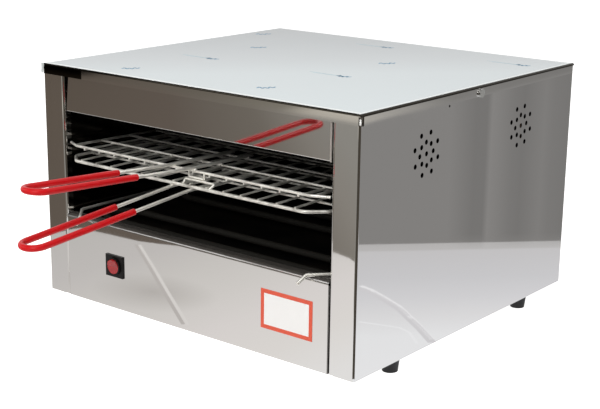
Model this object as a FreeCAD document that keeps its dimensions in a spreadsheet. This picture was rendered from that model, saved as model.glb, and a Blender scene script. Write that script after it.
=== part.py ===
"""Counter-top toaster: a folded steel casing with an open-fronted heating chamber,
and a pair of hinged wire grids with sleeved handles that slide out on two rails.

Frame: +Z up, the front faces -Y, X = 0 is the plane of symmetry, and the origin is on the
floor under the middle of the whole outline. Heights in the size sheet are measured from
the underside of the casing, depths from the plane of its front posts, and "wire" and
"radius" sizes are radii. All lengths are in millimetres and all angles in degrees.
"""
import FreeCAD, Part
import Sketcher
import math
import os
import re

V = FreeCAD.Vector
doc = FreeCAD.newDocument("counter_toaster")

# Counts of repeated pieces

DEPTH_WIRES = 14
LOWER_CROSS_WIRES = 9
UPPER_CROSS_WIRES = 8
HAIRPINS = 3
RING_HOLES = 8
BLOCK_SCREWS = 3

# Driving sizes

SIZES = {
    # Casing
    "body_width": 500,
    "body_depth": 474,
    "body_height": 301.5,
    "sheet_gauge": 1,
    "bend_radius": 2,
    "corner_radius": 3,
    "post_radius": 4,
    "post_width": 37,
    "post_lip": 10,
    "lip_start": 1.2,
    "rear_flange": 18,
    "cap_flange": 12,
    "pan_flange": 15,
    "cover_drop": 12,
    "corner_slit": 2,
    "film_gauge": 0.15,
    # Upper fascia and control panel
    "fascia_bottom": 243.5,
    "fascia_setback": 2.5,
    "fascia_hem": 8,
    "fascia_cap": 12,
    "fascia_gap": 1.5,
    "fascia_right_gap": 2,
    "fascia_return": 8,
    "fascia_slant": 7,
    "panel_height": 110,
    "panel_lip": 14,
    "panel_hook": 9,
    "panel_foot": 15,
    "panel_gap": 1,
    "panel_radius": 5,
    # Heating chamber
    "rear_cavity": 34,
    "ceiling_gap": 13.5,
    "tray_drop": 22,
    "tray_upstand": 18,
    "chamber_flange": 9,
    "lip_clearance": 0.3,
    "rail_width": 14,
    "rail_drop": 12,
    "rail_gauge": 1.2,
    "slide_clearance": 0.3,
    # Wire runners over the lower elements
    "runner_wire": 2,
    "runner_gap": 5,
    "runner_hook_inset": 30,
    "runner_tail_inset": 34,
    "runner_tail_reach": 15,
    "runner_tail_drop": 8.5,
    "runner_turn_depth": 20,
    # Heating elements
    "element_radius": 4.25,
    "element_pitch": 49,
    "first_element": 30,
    "last_element_gap": 69,
    "lower_element_gap": 16.5,
    "upper_element_gap": 20,
    "element_end_gap": 24,
    "element_hole_gap": 0.25,
    "collar_radius": 7.5,
    "collar_length": 4,
    "press_gap": 0.05,
    "sheath_tail": 2,
    "ceramic_radius": 3.8,
    "ceramic_length": 8,
    "pin_radius": 1.5,
    "pin_length": 10,
    "link_gauge": 1,
    "link_width": 8,
    "link_inset": 5,
    "strip_reach": 22,
    "bracket_gauge": 1.5,
    "bracket_width": 30,
    "bracket_overlap": 6,
    "bracket_leg": 12,
    # Wiring, terminal block, gland and earth stud
    "wire_radius": 1.5,
    "wire_bend": 12,
    "grommet_back_gap": 60,
    "grommet_height": 40,
    "grommet_hole": 8,
    "grommet_rim": 2,
    "grommet_bore": 6,
    "grommet_shift_y": 3,
    "grommet_shift_z": 2,
    "block_offset": 50,
    "block_width": 60,
    "block_depth": 18,
    "block_height": 22,
    "block_back_gap": 6,
    "block_screw_pitch": 18,
    "block_screw_radius": 3,
    "block_screw_height": 1.5,
    "block_wire_height": 12,
    "gland_inset": 70,
    "gland_height": 45,
    "gland_thread": 8,
    "gland_bore": 4.5,
    "gland_body": 11,
    "gland_reach": 22,
    "gland_nut_width": 26,
    "gland_nut_length": 5,
    "gland_thread_length": 9,
    "earth_x": 40,
    "earth_inset": 54,
    "earth_radius": 2.5,
    "earth_length": 20,
    "earth_nut_width": 8,
    "earth_nut_length": 4,
    # Switch and label
    "switch_inset": 123.7,
    "switch_height": 56.4,
    "bezel_width": 30,
    "bezel_height": 28.3,
    "bezel_gauge": 2,
    "housing_width": 26,
    "housing_height": 24,
    "housing_depth": 28,
    "housing_gap": 0.3,
    "rocker_hole": 10,
    "rocker_radius": 9.6,
    "rocker_collar": 11.5,
    "rocker_standing": 3,
    "rocker_back": 5,
    "rocker_well": 8,
    "rocker_valley": 1.3,
    "rocker_face": 2.6,
    "rocker_tilt": 8,
    "rocker_pin": 0.8,
    "rocker_pin_reach": 10.8,
    "pivot_clearance": 0.05,
    "tab_width": 6.3,
    "tab_gauge": 0.8,
    "tab_length": 8,
    "tab_pitch": 12,
    "label_inset": 135,
    "label_width": 75.6,
    "label_bottom": 33,
    "label_height": 48,
    "label_gauge": 0.25,
    # Vents in the side panels
    "vent_radius": 3,
    "vent_inner_ring": 13.75,
    "vent_outer_ring": 25,
    "vent_turn": 5,
    "vent_front": 129,
    "vent_rear_inset": 131,
    "vent_drop": 64,
    "pilot_radius": 1.5,
    "pilot_depth": 173.7,
    "pilot_drop": 15.5,
    # Feet and screws
    "foot_height": 16,
    "foot_top_radius": 11.2,
    "foot_bottom_radius": 9.3,
    "foot_inset_x": 13,
    "foot_inset_y": 89,
    "foot_recess": 5,
    "foot_recess_depth": 7,
    "screw_radius": 2,
    "screw_gap": 0.1,
    "screw_head_radius": 4,
    "screw_head_height": 2.5,
    "screw_tail": 5,
    "nut_width": 7,
    "nut_height": 3.2,
    "cover_screw_shift": 3,
    "cover_screw_drop": 8.8,
    "cover_screw_head": 5.5,
    "cover_screw_inset": 100,
    "rear_screw_inset": 9,
    "rear_screw_low": 30,
    "rear_screw_top_gap": 31.5,
    # Lower grid
    "lower_grid_height": 185.5,
    "lower_front_reach": 9,
    "grid_back_gap": 10,
    "lower_frame_wire": 2,
    "grid_side_gap": 8,
    "lower_corner_width": 21,
    "lower_corner_depth": 19,
    "cross_wire": 1.5,
    "depth_wire": 1.3,
    "weld_bite": 0.2,
    "post_bite": 0.8,
    "edge_wire_gap": 19.2,
    "lower_first_cross": 45,
    "lower_last_cross": 18,
    # Upper grid
    "upper_front_rise": 18,
    "upper_front_reach": 4,
    "hinge_lift": 8.6,
    "upper_frame_wire": 1.75,
    "upper_side_wire": 1.6,
    "upper_side_inset": 13,
    "ear_gap": 6,
    "ear_width": 21,
    "ear_depth": 10,
    "upper_first_cross": 46,
    "upper_last_cross": 41.5,
    "eye_wire": 1.5,
    "eye_clearance": 0.08,
    # Bridge and stop that hold the grids apart at the front
    "bridge_wire": 1.5,
    "bridge_left": 1.5,
    "bridge_right": 48,
    "bridge_foot_right": 43,
    "bridge_rise": 7,
    "stop_left": 7,
    "stop_right": 31,
    "stop_clearance": 0.3,
    # Handles
    "handle_wire": 2,
    "handle_half_spread": 15,
    "sleeve_radius": 3.75,
    "sleeve_gap": 0.05,
    "lower_handle_reach": 251,
    "lower_handle_drop": 19.4,
    "lower_sleeve_start": 102.5,
    "lower_tail_depth": 88,
    "upper_handle_reach": 245,
    "upper_handle_rise": 15.5,
    "upper_sleeve_start": 98,
    "upper_tail_depth": 100,
}

# Places worked out from the sizes

PLACES = {
    "front": "-(body_depth + gland_reach - max(lower_handle_reach; upper_handle_reach)) / 2",
    "back": "front + body_depth",
    "side": "body_width / 2",
    "base": "foot_height",
    "cover_top": "foot_height + body_height",
    "panel_top": "foot_height + panel_height",
    "casing_top": "cover_top - sheet_gauge",
    "pan_floor": "base + sheet_gauge",
    "post_edge": "side - post_width",
    "wall_face": "post_edge + sheet_gauge",
    "wall_back": "wall_face + sheet_gauge",
    "chamber_front": "front + sheet_gauge + post_lip + lip_clearance",
    "chamber_depth": "body_depth - rear_cavity",
    "chamber_back": "front + chamber_depth",
    "tray_floor": "panel_top - tray_drop",
    "ceiling": "cover_top - ceiling_gap",
    "chamber_top": "ceiling + chamber_flange",
    "grid_level": "base + lower_grid_height",
    "grid_front": "front - lower_front_reach",
    "grid_rear_depth": "chamber_depth - grid_back_gap",
    "hinge_line": "front + grid_rear_depth",
    "upper_grid_length": "grid_rear_depth + upper_front_reach",
    "lower_frame_spread": "wall_face - grid_side_gap - lower_frame_wire",
    "lower_front_half": "lower_frame_spread - lower_corner_width",
    "ear_spread": "wall_face - ear_gap",
    "upper_front_half": "ear_spread - ear_width",
    "upper_frame_spread": "lower_frame_spread - upper_side_inset",
    "wire_pitch": f"2 * (lower_frame_spread - edge_wire_gap) / {DEPTH_WIRES}",
    "lower_cross_pitch": "(grid_rear_depth + lower_front_reach - lower_first_cross"
                         f" - lower_last_cross) / ({LOWER_CROSS_WIRES} - 1)",
    "upper_cross_pitch": "(upper_grid_length - upper_first_cross - upper_last_cross)"
                         f" / ({UPPER_CROSS_WIRES} - 1)",
    "rail_top": "grid_level - lower_frame_wire - slide_clearance",
    "cross_lift": "cross_wire + depth_wire - weld_bite",
    "hairpin_end": "wall_back + collar_length + sheath_tail",
    "ceramic_end": "hairpin_end + ceramic_length",
    "pin_end": "ceramic_end + pin_length",
    "link_face": "ceramic_end + link_inset",
    "lower_elements": "tray_floor + lower_element_gap",
    "upper_elements": "ceiling - upper_element_gap",
    "element_reach": "wall_face - element_end_gap",
    "hairpin_pitch": "(chamber_depth - first_element - element_pitch - last_element_gap)"
                     f" / ({HAIRPINS} - 1)",
    "switch_x": "switch_inset - side",
    "switch_level": "base + switch_height",
    "label_left": "side - label_inset",
    "vent_rear": "body_depth - vent_rear_inset",
    "vent_level": "cover_top - vent_drop",
    "pilot_level": "cover_top - pilot_drop",
    "cover_screw_depth": "body_depth / 2 + cover_screw_shift",
    "cover_screw_level": "cover_top - cover_screw_drop",
    "cover_screw_x": "side - cover_screw_inset",
    "rear_screw_high": "cover_top - rear_screw_top_gap",
    "gland_x": "side - gland_inset",
    "block_x": "gland_x - block_offset",
    "grommet_depth": "chamber_depth - grommet_back_gap",
    "earth_depth": "body_depth - earth_inset",
    "rocker_pivot": "front - bezel_gauge - rocker_standing + rocker_face - 0.6",
    "block_front": "back - sheet_gauge - block_back_gap - block_depth",
    "runner_level": "panel_top + runner_wire",
    "runner_spread": "wall_face - runner_gap - runner_wire",
    "runner_hook_x": "wall_face - runner_hook_inset",
    "runner_tail_x": "wall_face - runner_tail_inset",
    "grid_tilt": "asin((upper_front_rise - hinge_lift) / upper_grid_length)",
}

sheet = doc.addObject("Spreadsheet::Sheet", "Sizes")
for row, (alias, number) in enumerate(SIZES.items(), 1):
    sheet.set(f"A{row}", alias)
    sheet.set(f"B{row}", str(number))
    sheet.setAlias(f"B{row}", alias)
doc.recompute()

PLACE_WORD = re.compile(r"\b(" + "|".join(PLACES) + r")\b")
SIZE_WORD = re.compile(r"\b(" + "|".join(SIZES) + r")\b")


def bound(expression):
    """The expression with its places spelt out and its sizes read from the sheet."""
    while PLACE_WORD.search(expression):
        expression = PLACE_WORD.sub(lambda word: f"({PLACES[word.group(1)]})", expression)
    return SIZE_WORD.sub(r"Sizes.\1", expression)


def size(expression):
    """The number that an expression of sizes and places comes to."""
    return float(sheet.evalExpression(bound(expression)))


def point(x, y, z):
    return V(size(x), size(y), size(z))


def bind(piece, **properties):
    for name, expression in properties.items():
        piece.setExpression(name, bound(expression))


def put(piece, x, y, z):
    for letter, expression in zip("xyz", (x, y, z)):
        piece.setExpression(f"Placement.Base.{letter}", bound(expression))


# Primitives, booleans and groups bound to the sheet

ALONG = {
    "x": FreeCAD.Rotation(V(0, 1, 0), 90),
    "y": FreeCAD.Rotation(V(1, 0, 0), -90),
    "z": FreeCAD.Rotation(),
}


def box(name, x, y, z):
    """A box between two planes on each axis; each of x, y and z is a pair (low, high)."""
    piece = doc.addObject("Part::Box", name)
    lengths = [f"({high}) - ({low})" for low, high in (x, y, z)]
    bind(piece, Length=lengths[0], Width=lengths[1], Height=lengths[2])
    put(piece, x[0], y[0], z[0])
    return piece


def rod(name, radius, start, length, axis="z"):
    piece = doc.addObject("Part::Cylinder", name)
    piece.Placement = FreeCAD.Placement(V(), ALONG[axis])
    bind(piece, Radius=radius, Height=length)
    put(piece, *start)
    return piece


def hexagon(name, across_flats, start, length, axis="z"):
    piece = doc.addObject("Part::Prism", name)
    piece.Polygon = 6
    piece.Placement = FreeCAD.Placement(V(), ALONG[axis])
    bind(piece, Circumradius=f"({across_flats}) / sqrt(3)", Height=length)
    put(piece, *start)
    return piece


def fuse(name, pieces):
    union = doc.addObject("Part::MultiFuse", name)
    union.Shapes = pieces
    return union


def cut(name, base, tools):
    difference = doc.addObject("Part::Cut", name)
    difference.Base = base
    difference.Tool = tools[0] if len(tools) == 1 else fuse(name + "_tools", tools)
    return difference


def group(name, pieces):
    """Identical or paired pieces that share one node as separate solids."""
    compound = doc.addObject("Part::Compound", name)
    compound.Links = pieces
    return compound


def ring(name, outer, inner, start, length, axis="z"):
    return cut(name, rod(name + "_rim", outer, start, length, axis),
               [rod(name + "_bore", inner, start, length, axis)])


def mirrored(low, high, sign):
    """A span of X on the right side, or its mirror image on the left."""
    return (low, high) if sign > 0 else (f"-({high})", f"-({low})")


SUBPARTS = {}


def subpart(node, piece):
    piece.Label = node
    SUBPARTS[node] = piece


def edges_along_z(shape, corners):
    """Numbers of the vertical edges that stand on the given (x, y) corners."""
    wanted = [(size(x), size(y)) for x, y in corners]
    numbers = []
    for number, edge in enumerate(shape.Edges, 1):
        ends = [vertex.Point for vertex in edge.Vertexes]
        for x, y in wanted:
            if len(ends) == 2 and all(math.hypot(end.x - x, end.y - y) < 0.001 for end in ends):
                numbers.append(number)
    return numbers


def rounded(name, base, radius, corners):
    """The base with its vertical edges at these corners rounded to one radius."""
    doc.recompute()
    piece = doc.addObject("Part::Fillet", name)
    piece.Base = base
    bend = size(radius)
    piece.Edges = [(number, bend, bend) for number in edges_along_z(base.Shape, corners)]
    return piece


# Sketched bodies

def sketch_on(body, role, name):
    sketch = body.newObject("Sketcher::SketchObject", name)
    plane = next(feature for feature in body.Origin.OriginFeatures if feature.Role == role)
    sketch.AttachmentSupport = [(plane, "")]
    sketch.MapMode = "FlatFace"
    return sketch


def outline(sketch, corners):
    """Draw a closed outline; every corner is dimensioned from the sketch's origin."""
    count = len(corners)
    first = sketch.GeometryCount
    ends = [V(size(across), size(up), 0) for across, up in corners]
    for start, end in zip(ends, ends[1:] + ends[:1]):
        sketch.addGeometry(Part.LineSegment(start, end))
    for i in range(count):
        sketch.addConstraint(Sketcher.Constraint("Coincident", first + i, 2, first + (i + 1) % count, 1))
    for i, (across, up) in enumerate(corners):
        for kind, expression in (("DistanceX", across), ("DistanceY", up)):
            dimension = Sketcher.Constraint(kind, -1, 1, first + i, 1, size(expression))
            index = sketch.addConstraint(dimension)
            sketch.setExpression(f"Constraints[{index}]", bound(expression))


def pad(body, sketch, length, name, symmetric=False):
    feature = body.newObject("PartDesign::Pad", name)
    feature.Profile = sketch
    bind(feature, Length=length)
    feature.SideType = "Symmetric" if symmetric else "One side"
    return feature


def pocket_through(body, sketch, name):
    feature = body.newObject("PartDesign::Pocket", name)
    feature.Profile = sketch
    feature.SideType = "Symmetric"
    feature.Type = "ThroughAll"
    return feature


def fillet_along_x(body, base, radius, corners, name):
    """Round the edges that run along X through the given (y, z) corners."""
    doc.recompute()
    wanted = [(size(y), size(z)) for y, z in corners]
    names = []
    for number, edge in enumerate(base.Shape.Edges, 1):
        ends = [vertex.Point for vertex in edge.Vertexes]
        for y, z in wanted:
            if len(ends) == 2 and all(math.hypot(end.y - y, end.z - z) < 0.001 for end in ends):
                names.append(f"Edge{number}")
    feature = body.newObject("PartDesign::Fillet", name)
    feature.Base = (base, names)
    bind(feature, Radius=radius)
    return feature


# Bent wire and tube

def bent_path(points, bend):
    """Straight runs through the points, joined by tangent arcs of radius bend.

    Where bend is None each arc is as large as its two runs allow.
    """
    edges = []
    start = points[0]
    for before, corner, after in zip(points, points[1:], points[2:]):
        inward = (before - corner).normalize()
        outward = (after - corner).normalize()
        turn = math.pi - inward.getAngle(outward)
        shorter = min((before - corner).Length, (after - corner).Length)
        radius = 0.45 * shorter / math.tan(turn / 2) if bend is None else bend
        setback = radius * math.tan(turn / 2)
        entry = corner + inward * setback
        leave = corner + outward * setback
        bisector = (inward + outward).normalize()
        middle = corner + bisector * (radius / math.cos(turn / 2) - radius)
        if (entry - start).Length > 0.001:
            edges.append(Part.LineSegment(start, entry).toShape())
        edges.append(Part.Arc(entry, middle, leave).toShape())
        start = leave
    if (points[-1] - start).Length > 0.001:
        edges.append(Part.LineSegment(start, points[-1]).toShape())
    return Part.Wire(edges)


def sweep(path, radius):
    """A round bar of this radius along a path."""
    start = path.Edges[0]
    heading = start.tangentAt(start.FirstParameter)
    section = Part.Wire(Part.makeCircle(radius, path.OrderedVertexes[0].Point, heading))
    bar = path.makePipeShell([section], True, False)
    expected = path.Length * math.pi * radius ** 2
    if abs(bar.Volume - expected) > 0.01 * expected:
        raise ValueError(f"bent bar volume {bar.Volume:.0f}, expected {expected:.0f}")
    return bar


def bent_bar(name, points, radius, bend, placement=None):
    """A Part::Feature for a bent wire; points are triples of expressions."""
    path = bent_path([point(*corner) for corner in points], None if bend is None else size(bend))
    return feature(name, sweep(path, size(radius)), placement)


def feature(name, shape, placement=None):
    piece = doc.addObject("Part::Feature", name)
    piece.Shape = shape
    if placement is not None:
        piece.Placement = placement
    return piece


# Base pan: a folded tray, open at the front

FOOT_PLACES = [(sign_x, depth) for sign_x in (-1, 1)
               for depth in ("front + foot_inset_y", "back - foot_inset_y")]


def foot_x(sign_x):
    return f"({sign_x}) * (side - foot_inset_x)"


pan_outer = box("pan_outer", ("-side + sheet_gauge", "side - sheet_gauge"),
                ("front + sheet_gauge", "back - 2 * sheet_gauge"), ("base", "base + pan_flange"))
pan_outer = rounded("pan_rounded", pan_outer, "corner_radius",
                    [(f"({sign}) * (side - sheet_gauge)", "front + sheet_gauge") for sign in (-1, 1)])
pan_inner = box("pan_inner", ("-side + 2 * sheet_gauge", "side - 2 * sheet_gauge"),
                ("front", "back - 3 * sheet_gauge"), ("pan_floor", "base + 2 * pan_flange"))
pan_holes = [rod(f"pan_foot_hole_{i}", "screw_radius + screw_gap",
                 (foot_x(sign_x), depth, "base - sheet_gauge"), "3 * sheet_gauge")
             for i, (sign_x, depth) in enumerate(FOOT_PLACES)]
pan_holes.append(rod("pan_earth_hole", "earth_radius + press_gap",
                     ("earth_x", "front + earth_depth", "base - sheet_gauge"), "3 * sheet_gauge"))
subpart("base_pan", cut("pan", pan_outer, [pan_inner] + pan_holes))


# Side panels: one folded sheet each, with a front post, its inner lip, a rear flange and a cap

REAR_SCREW_LEVELS = ("base + rear_screw_low", "(base + rear_screw_low + rear_screw_high) / 2",
                     "rear_screw_high")
REAR_SCREW_PLACES = [(sign, level) for sign in (-1, 1) for level in REAR_SCREW_LEVELS]


def rear_screw_x(sign):
    return f"({sign}) * (side - rear_screw_inset)"


def vent_holes(name, sign, depth):
    """One rosette: a middle hole and two rings of holes, drilled along X."""
    start = mirrored("side - 2 * sheet_gauge", "side + sheet_gauge", sign)[0]
    places = [("0", "0")]
    for radius, first in (("vent_inner_ring", "vent_turn"),
                          ("vent_outer_ring", f"vent_turn + 180 / {RING_HOLES}")):
        for i in range(RING_HOLES):
            angle = f"{i} * 360 / {RING_HOLES} + {first}"
            places.append((f"{radius} * cos({angle})", f"{radius} * sin({angle})"))
    return [rod(f"{name}_{i}", "vent_radius",
                (start, f"front + {depth} + {across}", f"vent_level + {up}"),
                "3 * sheet_gauge", "x")
            for i, (across, up) in enumerate(places)]


def side_panel(node, sign):
    wall = box(node + "_wall", mirrored("side - sheet_gauge", "side", sign),
               ("front", "back - sheet_gauge"), ("base", "casing_top"))
    post = box(node + "_post", mirrored("post_edge + 2 * post_radius", "side", sign),
               ("front", "front + sheet_gauge"), ("base", "casing_top"))
    lip = box(node + "_lip", mirrored("post_edge", "wall_face", sign),
              ("front", "front + sheet_gauge + post_lip"), ("base + lip_start", "casing_top"))
    fold = box(node + "_fold", mirrored("post_edge", "side", sign),
               ("front", "front + sheet_gauge"), ("base + lip_start", "casing_top"))
    rear = box(node + "_rear", mirrored("side - rear_flange", "side", sign),
               ("back - 2 * sheet_gauge", "back - sheet_gauge"), ("base", "casing_top"))
    cap = box(node + "_cap", mirrored("side - cap_flange", "side", sign),
              ("front", "back - sheet_gauge"), ("casing_top - sheet_gauge", "casing_top"))
    folded = fuse(node + "_folded", [wall, post, fold, lip, rear, cap])
    folded.Refine = True
    inside = "front + sheet_gauge"
    bends = (("_post_inner", "post_radius - sheet_gauge", f"({sign}) * wall_face", inside),
             ("_post_outer", "post_radius", f"({sign}) * post_edge", "front"),
             ("_corner_inner", "corner_radius - sheet_gauge", f"({sign}) * (side - sheet_gauge)", inside),
             ("_corner_outer", "corner_radius", f"({sign}) * side", "front"))
    for ending, radius, x, y in bends:
        folded = rounded(node + ending, folded, radius, [(x, y)])
    start = mirrored("side - 2 * sheet_gauge", "side + sheet_gauge", sign)[0]
    holes = vent_holes(node + "_front_vent", sign, "vent_front")
    holes += vent_holes(node + "_rear_vent", sign, "vent_rear")
    holes.append(rod(node + "_cover_hole", "screw_radius + screw_gap",
                     (start, "front + cover_screw_depth", "cover_screw_level"),
                     "3 * sheet_gauge", "x"))
    holes.append(rod(node + "_pilot", "pilot_radius",
                     (start, "front + pilot_depth", "pilot_level"), "3 * sheet_gauge", "x"))
    holes += [rod(f"{node}_rear_hole_{i}", "screw_radius + screw_gap",
                  (rear_screw_x(sign), "back - 3 * sheet_gauge", level), "3 * sheet_gauge", "y")
              for i, level in enumerate(REAR_SCREW_LEVELS)]
    subpart(node, cut(node + "_drilled", folded, holes))


side_panel("left_side_panel", -1)
side_panel("right_side_panel", 1)


# Rear panel: a flat sheet over both rear flanges

rear_sheet = box("rear_sheet", ("-side", "side"), ("back - sheet_gauge", "back"), ("base", "casing_top"))
rear_holes = [rod(f"rear_hole_{i}", "screw_radius + screw_gap",
                  (rear_screw_x(sign), "back - 2 * sheet_gauge", level), "3 * sheet_gauge", "y")
              for i, (sign, level) in enumerate(REAR_SCREW_PLACES)]
rear_holes.append(rod("rear_gland_hole", "gland_thread + screw_gap",
                      ("gland_x", "back - 2 * sheet_gauge", "base + gland_height"),
                      "3 * sheet_gauge", "y"))
rear_holes += [rod(f"rear_cover_hole_{sign + 1}", "screw_radius + screw_gap",
                   (f"{sign} * cover_screw_x", "back - 2 * sheet_gauge", "cover_screw_level"),
                   "3 * sheet_gauge", "y")
               for sign in (-1, 1)]
subpart("rear_panel", cut("rear_drilled", rear_sheet, rear_holes))


# Top cover: a shallow lid whose four flanges hang outside the casing, open at the corners

cover_body = doc.addObject("PartDesign::Body", "cover_body")
cover_plan = sketch_on(cover_body, "XY_Plane", "cover_plan")
bind(cover_plan, **{"AttachmentOffset.Base.z": "cover_top - cover_drop - sheet_gauge"})
LID_LEFT, LID_RIGHT = "-side - sheet_gauge", "side + sheet_gauge"
LID_FRONT, LID_BACK = "front - sheet_gauge", "back + sheet_gauge"
outline(cover_plan, [(LID_LEFT, LID_FRONT), (LID_RIGHT, LID_FRONT), (LID_RIGHT, LID_BACK),
                     (LID_LEFT, LID_BACK)])
cover_block = pad(cover_body, cover_plan, "cover_drop + sheet_gauge", "cover_block")
doc.recompute()
lid_edges = [f"Edge{number}" for number, edge in enumerate(cover_block.Shape.Edges, 1)
             if edge.BoundBox.ZMin > size("cover_top") - 0.001]
cover_bend = cover_body.newObject("PartDesign::Fillet", "cover_bend")
cover_bend.Base = (cover_block, lid_edges)
bind(cover_bend, Radius="bend_radius")
doc.recompute()
cover_hollow = sketch_on(cover_body, "XY_Plane", "cover_hollow")
bind(cover_hollow, **{"AttachmentOffset.Base.z": "casing_top"})
outline(cover_hollow, [("-side", "front"), ("side", "front"), ("side", "back"), ("-side", "back")])
cover_pocket = cover_body.newObject("PartDesign::Pocket", "cover_pocket")
cover_pocket.Profile = cover_hollow
bind(cover_pocket, Length="2 * cover_drop")
doc.recompute()
cover_corners = sketch_on(cover_body, "XY_Plane", "cover_corners")
bind(cover_corners, **{"AttachmentOffset.Base.z": "casing_top - bend_radius"})
for sign_x in (-1, 1):
    for near, far in (("front + corner_slit", "front - 2 * sheet_gauge"),
                      ("back - corner_slit", "back + 2 * sheet_gauge")):
        inner_x = f"({sign_x}) * (side - corner_slit)"
        outer_x = f"({sign_x}) * (side + 2 * sheet_gauge)"
        outline(cover_corners, [(inner_x, near), (outer_x, near), (outer_x, far), (inner_x, far)])
corner_pocket = cover_body.newObject("PartDesign::Pocket", "corner_pocket")
corner_pocket.Profile = cover_corners
bind(corner_pocket, Length="2 * cover_drop")
cover_holes = [rod(f"cover_side_hole_{sign + 1}", "screw_radius + screw_gap",
                   (mirrored("side - sheet_gauge", "side + 2 * sheet_gauge", sign)[0],
                    "front + cover_screw_depth", "cover_screw_level"), "3 * sheet_gauge", "x")
               for sign in (-1, 1)]
cover_holes += [rod(f"cover_back_hole_{sign + 1}", "screw_radius + screw_gap",
                    (f"{sign} * cover_screw_x", "back - sheet_gauge", "cover_screw_level"),
                    "3 * sheet_gauge", "y")
                for sign in (-1, 1)]
subpart("top_cover", cut("cover_drilled", cover_body, cover_holes))

film_left, film_right = "-side - sheet_gauge + bend_radius", "side + sheet_gauge - bend_radius"
subpart("protective_film",
        box("film", (film_left, film_right),
            ("front - sheet_gauge + bend_radius", "back + sheet_gauge - bend_radius"),
            ("cover_top", "cover_top + film_gauge")))


# Upper fascia: set back between the posts, with a hem below and a slanting left end

fascia_body = doc.addObject("PartDesign::Body", "fascia_body")
fascia_profile = sketch_on(fascia_body, "YZ_Plane", "fascia_profile")
FASCIA_FACE, FASCIA_FOOT = "front + fascia_setback", "base + fascia_bottom"
outline(fascia_profile, [
    (FASCIA_FACE, FASCIA_FOOT),
    (f"{FASCIA_FACE} + fascia_hem", FASCIA_FOOT),
    (f"{FASCIA_FACE} + fascia_hem", f"{FASCIA_FOOT} + sheet_gauge"),
    (f"{FASCIA_FACE} + sheet_gauge", f"{FASCIA_FOOT} + sheet_gauge"),
    (f"{FASCIA_FACE} + sheet_gauge", "casing_top - sheet_gauge"),
    (f"{FASCIA_FACE} + fascia_cap", "casing_top - sheet_gauge"),
    (f"{FASCIA_FACE} + fascia_cap", "casing_top"),
    (FASCIA_FACE, "casing_top"),
])
fascia_sheet = pad(fascia_body, fascia_profile, "2 * post_edge", "fascia_sheet", True)
fascia_fold = fillet_along_x(fascia_body, fascia_sheet, "bend_radius",
                             [(FASCIA_FACE, FASCIA_FOOT)], "fascia_fold")
fascia_end = sketch_on(fascia_body, "XZ_Plane", "fascia_end")
outline(fascia_end, [
    ("-post_edge + fascia_gap", f"{FASCIA_FOOT} - sheet_gauge"),
    ("-post_edge + fascia_gap + fascia_slant", "casing_top + sheet_gauge"),
    ("-side", "casing_top + sheet_gauge"),
    ("-side", f"{FASCIA_FOOT} - sheet_gauge"),
])
pocket_through(fascia_body, fascia_end, "fascia_slant_cut")
doc.recompute()
FASCIA_RIGHT = "post_edge - fascia_right_gap"
fascia_stop = sketch_on(fascia_body, "XZ_Plane", "fascia_stop")
outline(fascia_stop, [
    (FASCIA_RIGHT, f"{FASCIA_FOOT} - sheet_gauge"),
    ("side", f"{FASCIA_FOOT} - sheet_gauge"),
    ("side", "casing_top + sheet_gauge"),
    (FASCIA_RIGHT, "casing_top + sheet_gauge"),
])
pocket_through(fascia_body, fascia_stop, "fascia_right_cut")
fascia_return = box("fascia_return_flange", (f"{FASCIA_RIGHT} - sheet_gauge", FASCIA_RIGHT),
                    (FASCIA_FACE, f"{FASCIA_FACE} + fascia_return"), (FASCIA_FOOT, "casing_top"))
fascia_folded = fuse("fascia_folded", [fascia_body, fascia_return])
fascia_folded.Refine = True
subpart("upper_fascia", fascia_folded)


# Control panel: flush with the posts, rolled over at the top and folded back on the base pan

panel_body = doc.addObject("PartDesign::Body", "panel_body")
panel_profile = sketch_on(panel_body, "YZ_Plane", "panel_profile")
outline(panel_profile, [
    ("front", "base"),
    ("front + sheet_gauge", "base"),
    ("front + sheet_gauge", "pan_floor"),
    ("front + panel_foot", "pan_floor"),
    ("front + panel_foot", "pan_floor + sheet_gauge"),
    ("front + sheet_gauge", "pan_floor + sheet_gauge"),
    ("front + sheet_gauge", "panel_top - sheet_gauge"),
    ("front + panel_lip - sheet_gauge", "panel_top - sheet_gauge"),
    ("front + panel_lip - sheet_gauge", "panel_top - panel_hook"),
    ("front + panel_lip", "panel_top - panel_hook"),
    ("front + panel_lip", "panel_top"),
    ("front", "panel_top"),
])
panel_sheet = pad(panel_body, panel_profile, "2 * (post_edge - panel_gap)", "panel_sheet", True)
panel_roll = fillet_along_x(panel_body, panel_sheet, "panel_radius",
                            [("front", "panel_top")], "panel_roll")
fillet_along_x(panel_body, panel_roll, "panel_radius - sheet_gauge",
               [("front + sheet_gauge", "panel_top - sheet_gauge")], "panel_roll_inside")
doc.recompute()
switch_opening = sketch_on(panel_body, "XZ_Plane", "switch_opening")
half_x, half_z = "(housing_width / 2 + housing_gap)", "(housing_height / 2 + housing_gap)"
outline(switch_opening, [
    (f"switch_x - {half_x}", f"switch_level - {half_z}"),
    (f"switch_x + {half_x}", f"switch_level - {half_z}"),
    (f"switch_x + {half_x}", f"switch_level + {half_z}"),
    (f"switch_x - {half_x}", f"switch_level + {half_z}"),
])
pocket_through(panel_body, switch_opening, "switch_cutout")
subpart("control_panel", panel_body)

label_body = doc.addObject("PartDesign::Body", "label_body")
label_outline = sketch_on(label_body, "XZ_Plane", "label_outline")
bind(label_outline, **{"AttachmentOffset.Base.z": "-(front)"})
outline(label_outline, [
    ("label_left", "base + label_bottom"),
    ("label_left + label_width", "base + label_bottom"),
    ("label_left + label_width", "base + label_bottom + label_height"),
    ("label_left", "base + label_bottom + label_height"),
])
pad(label_body, label_outline, "label_gauge", "label_sheet")
subpart("label_plate", label_body)


# Heating chamber: two walls on the base pan, and a back, ceiling and tray between them

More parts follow.
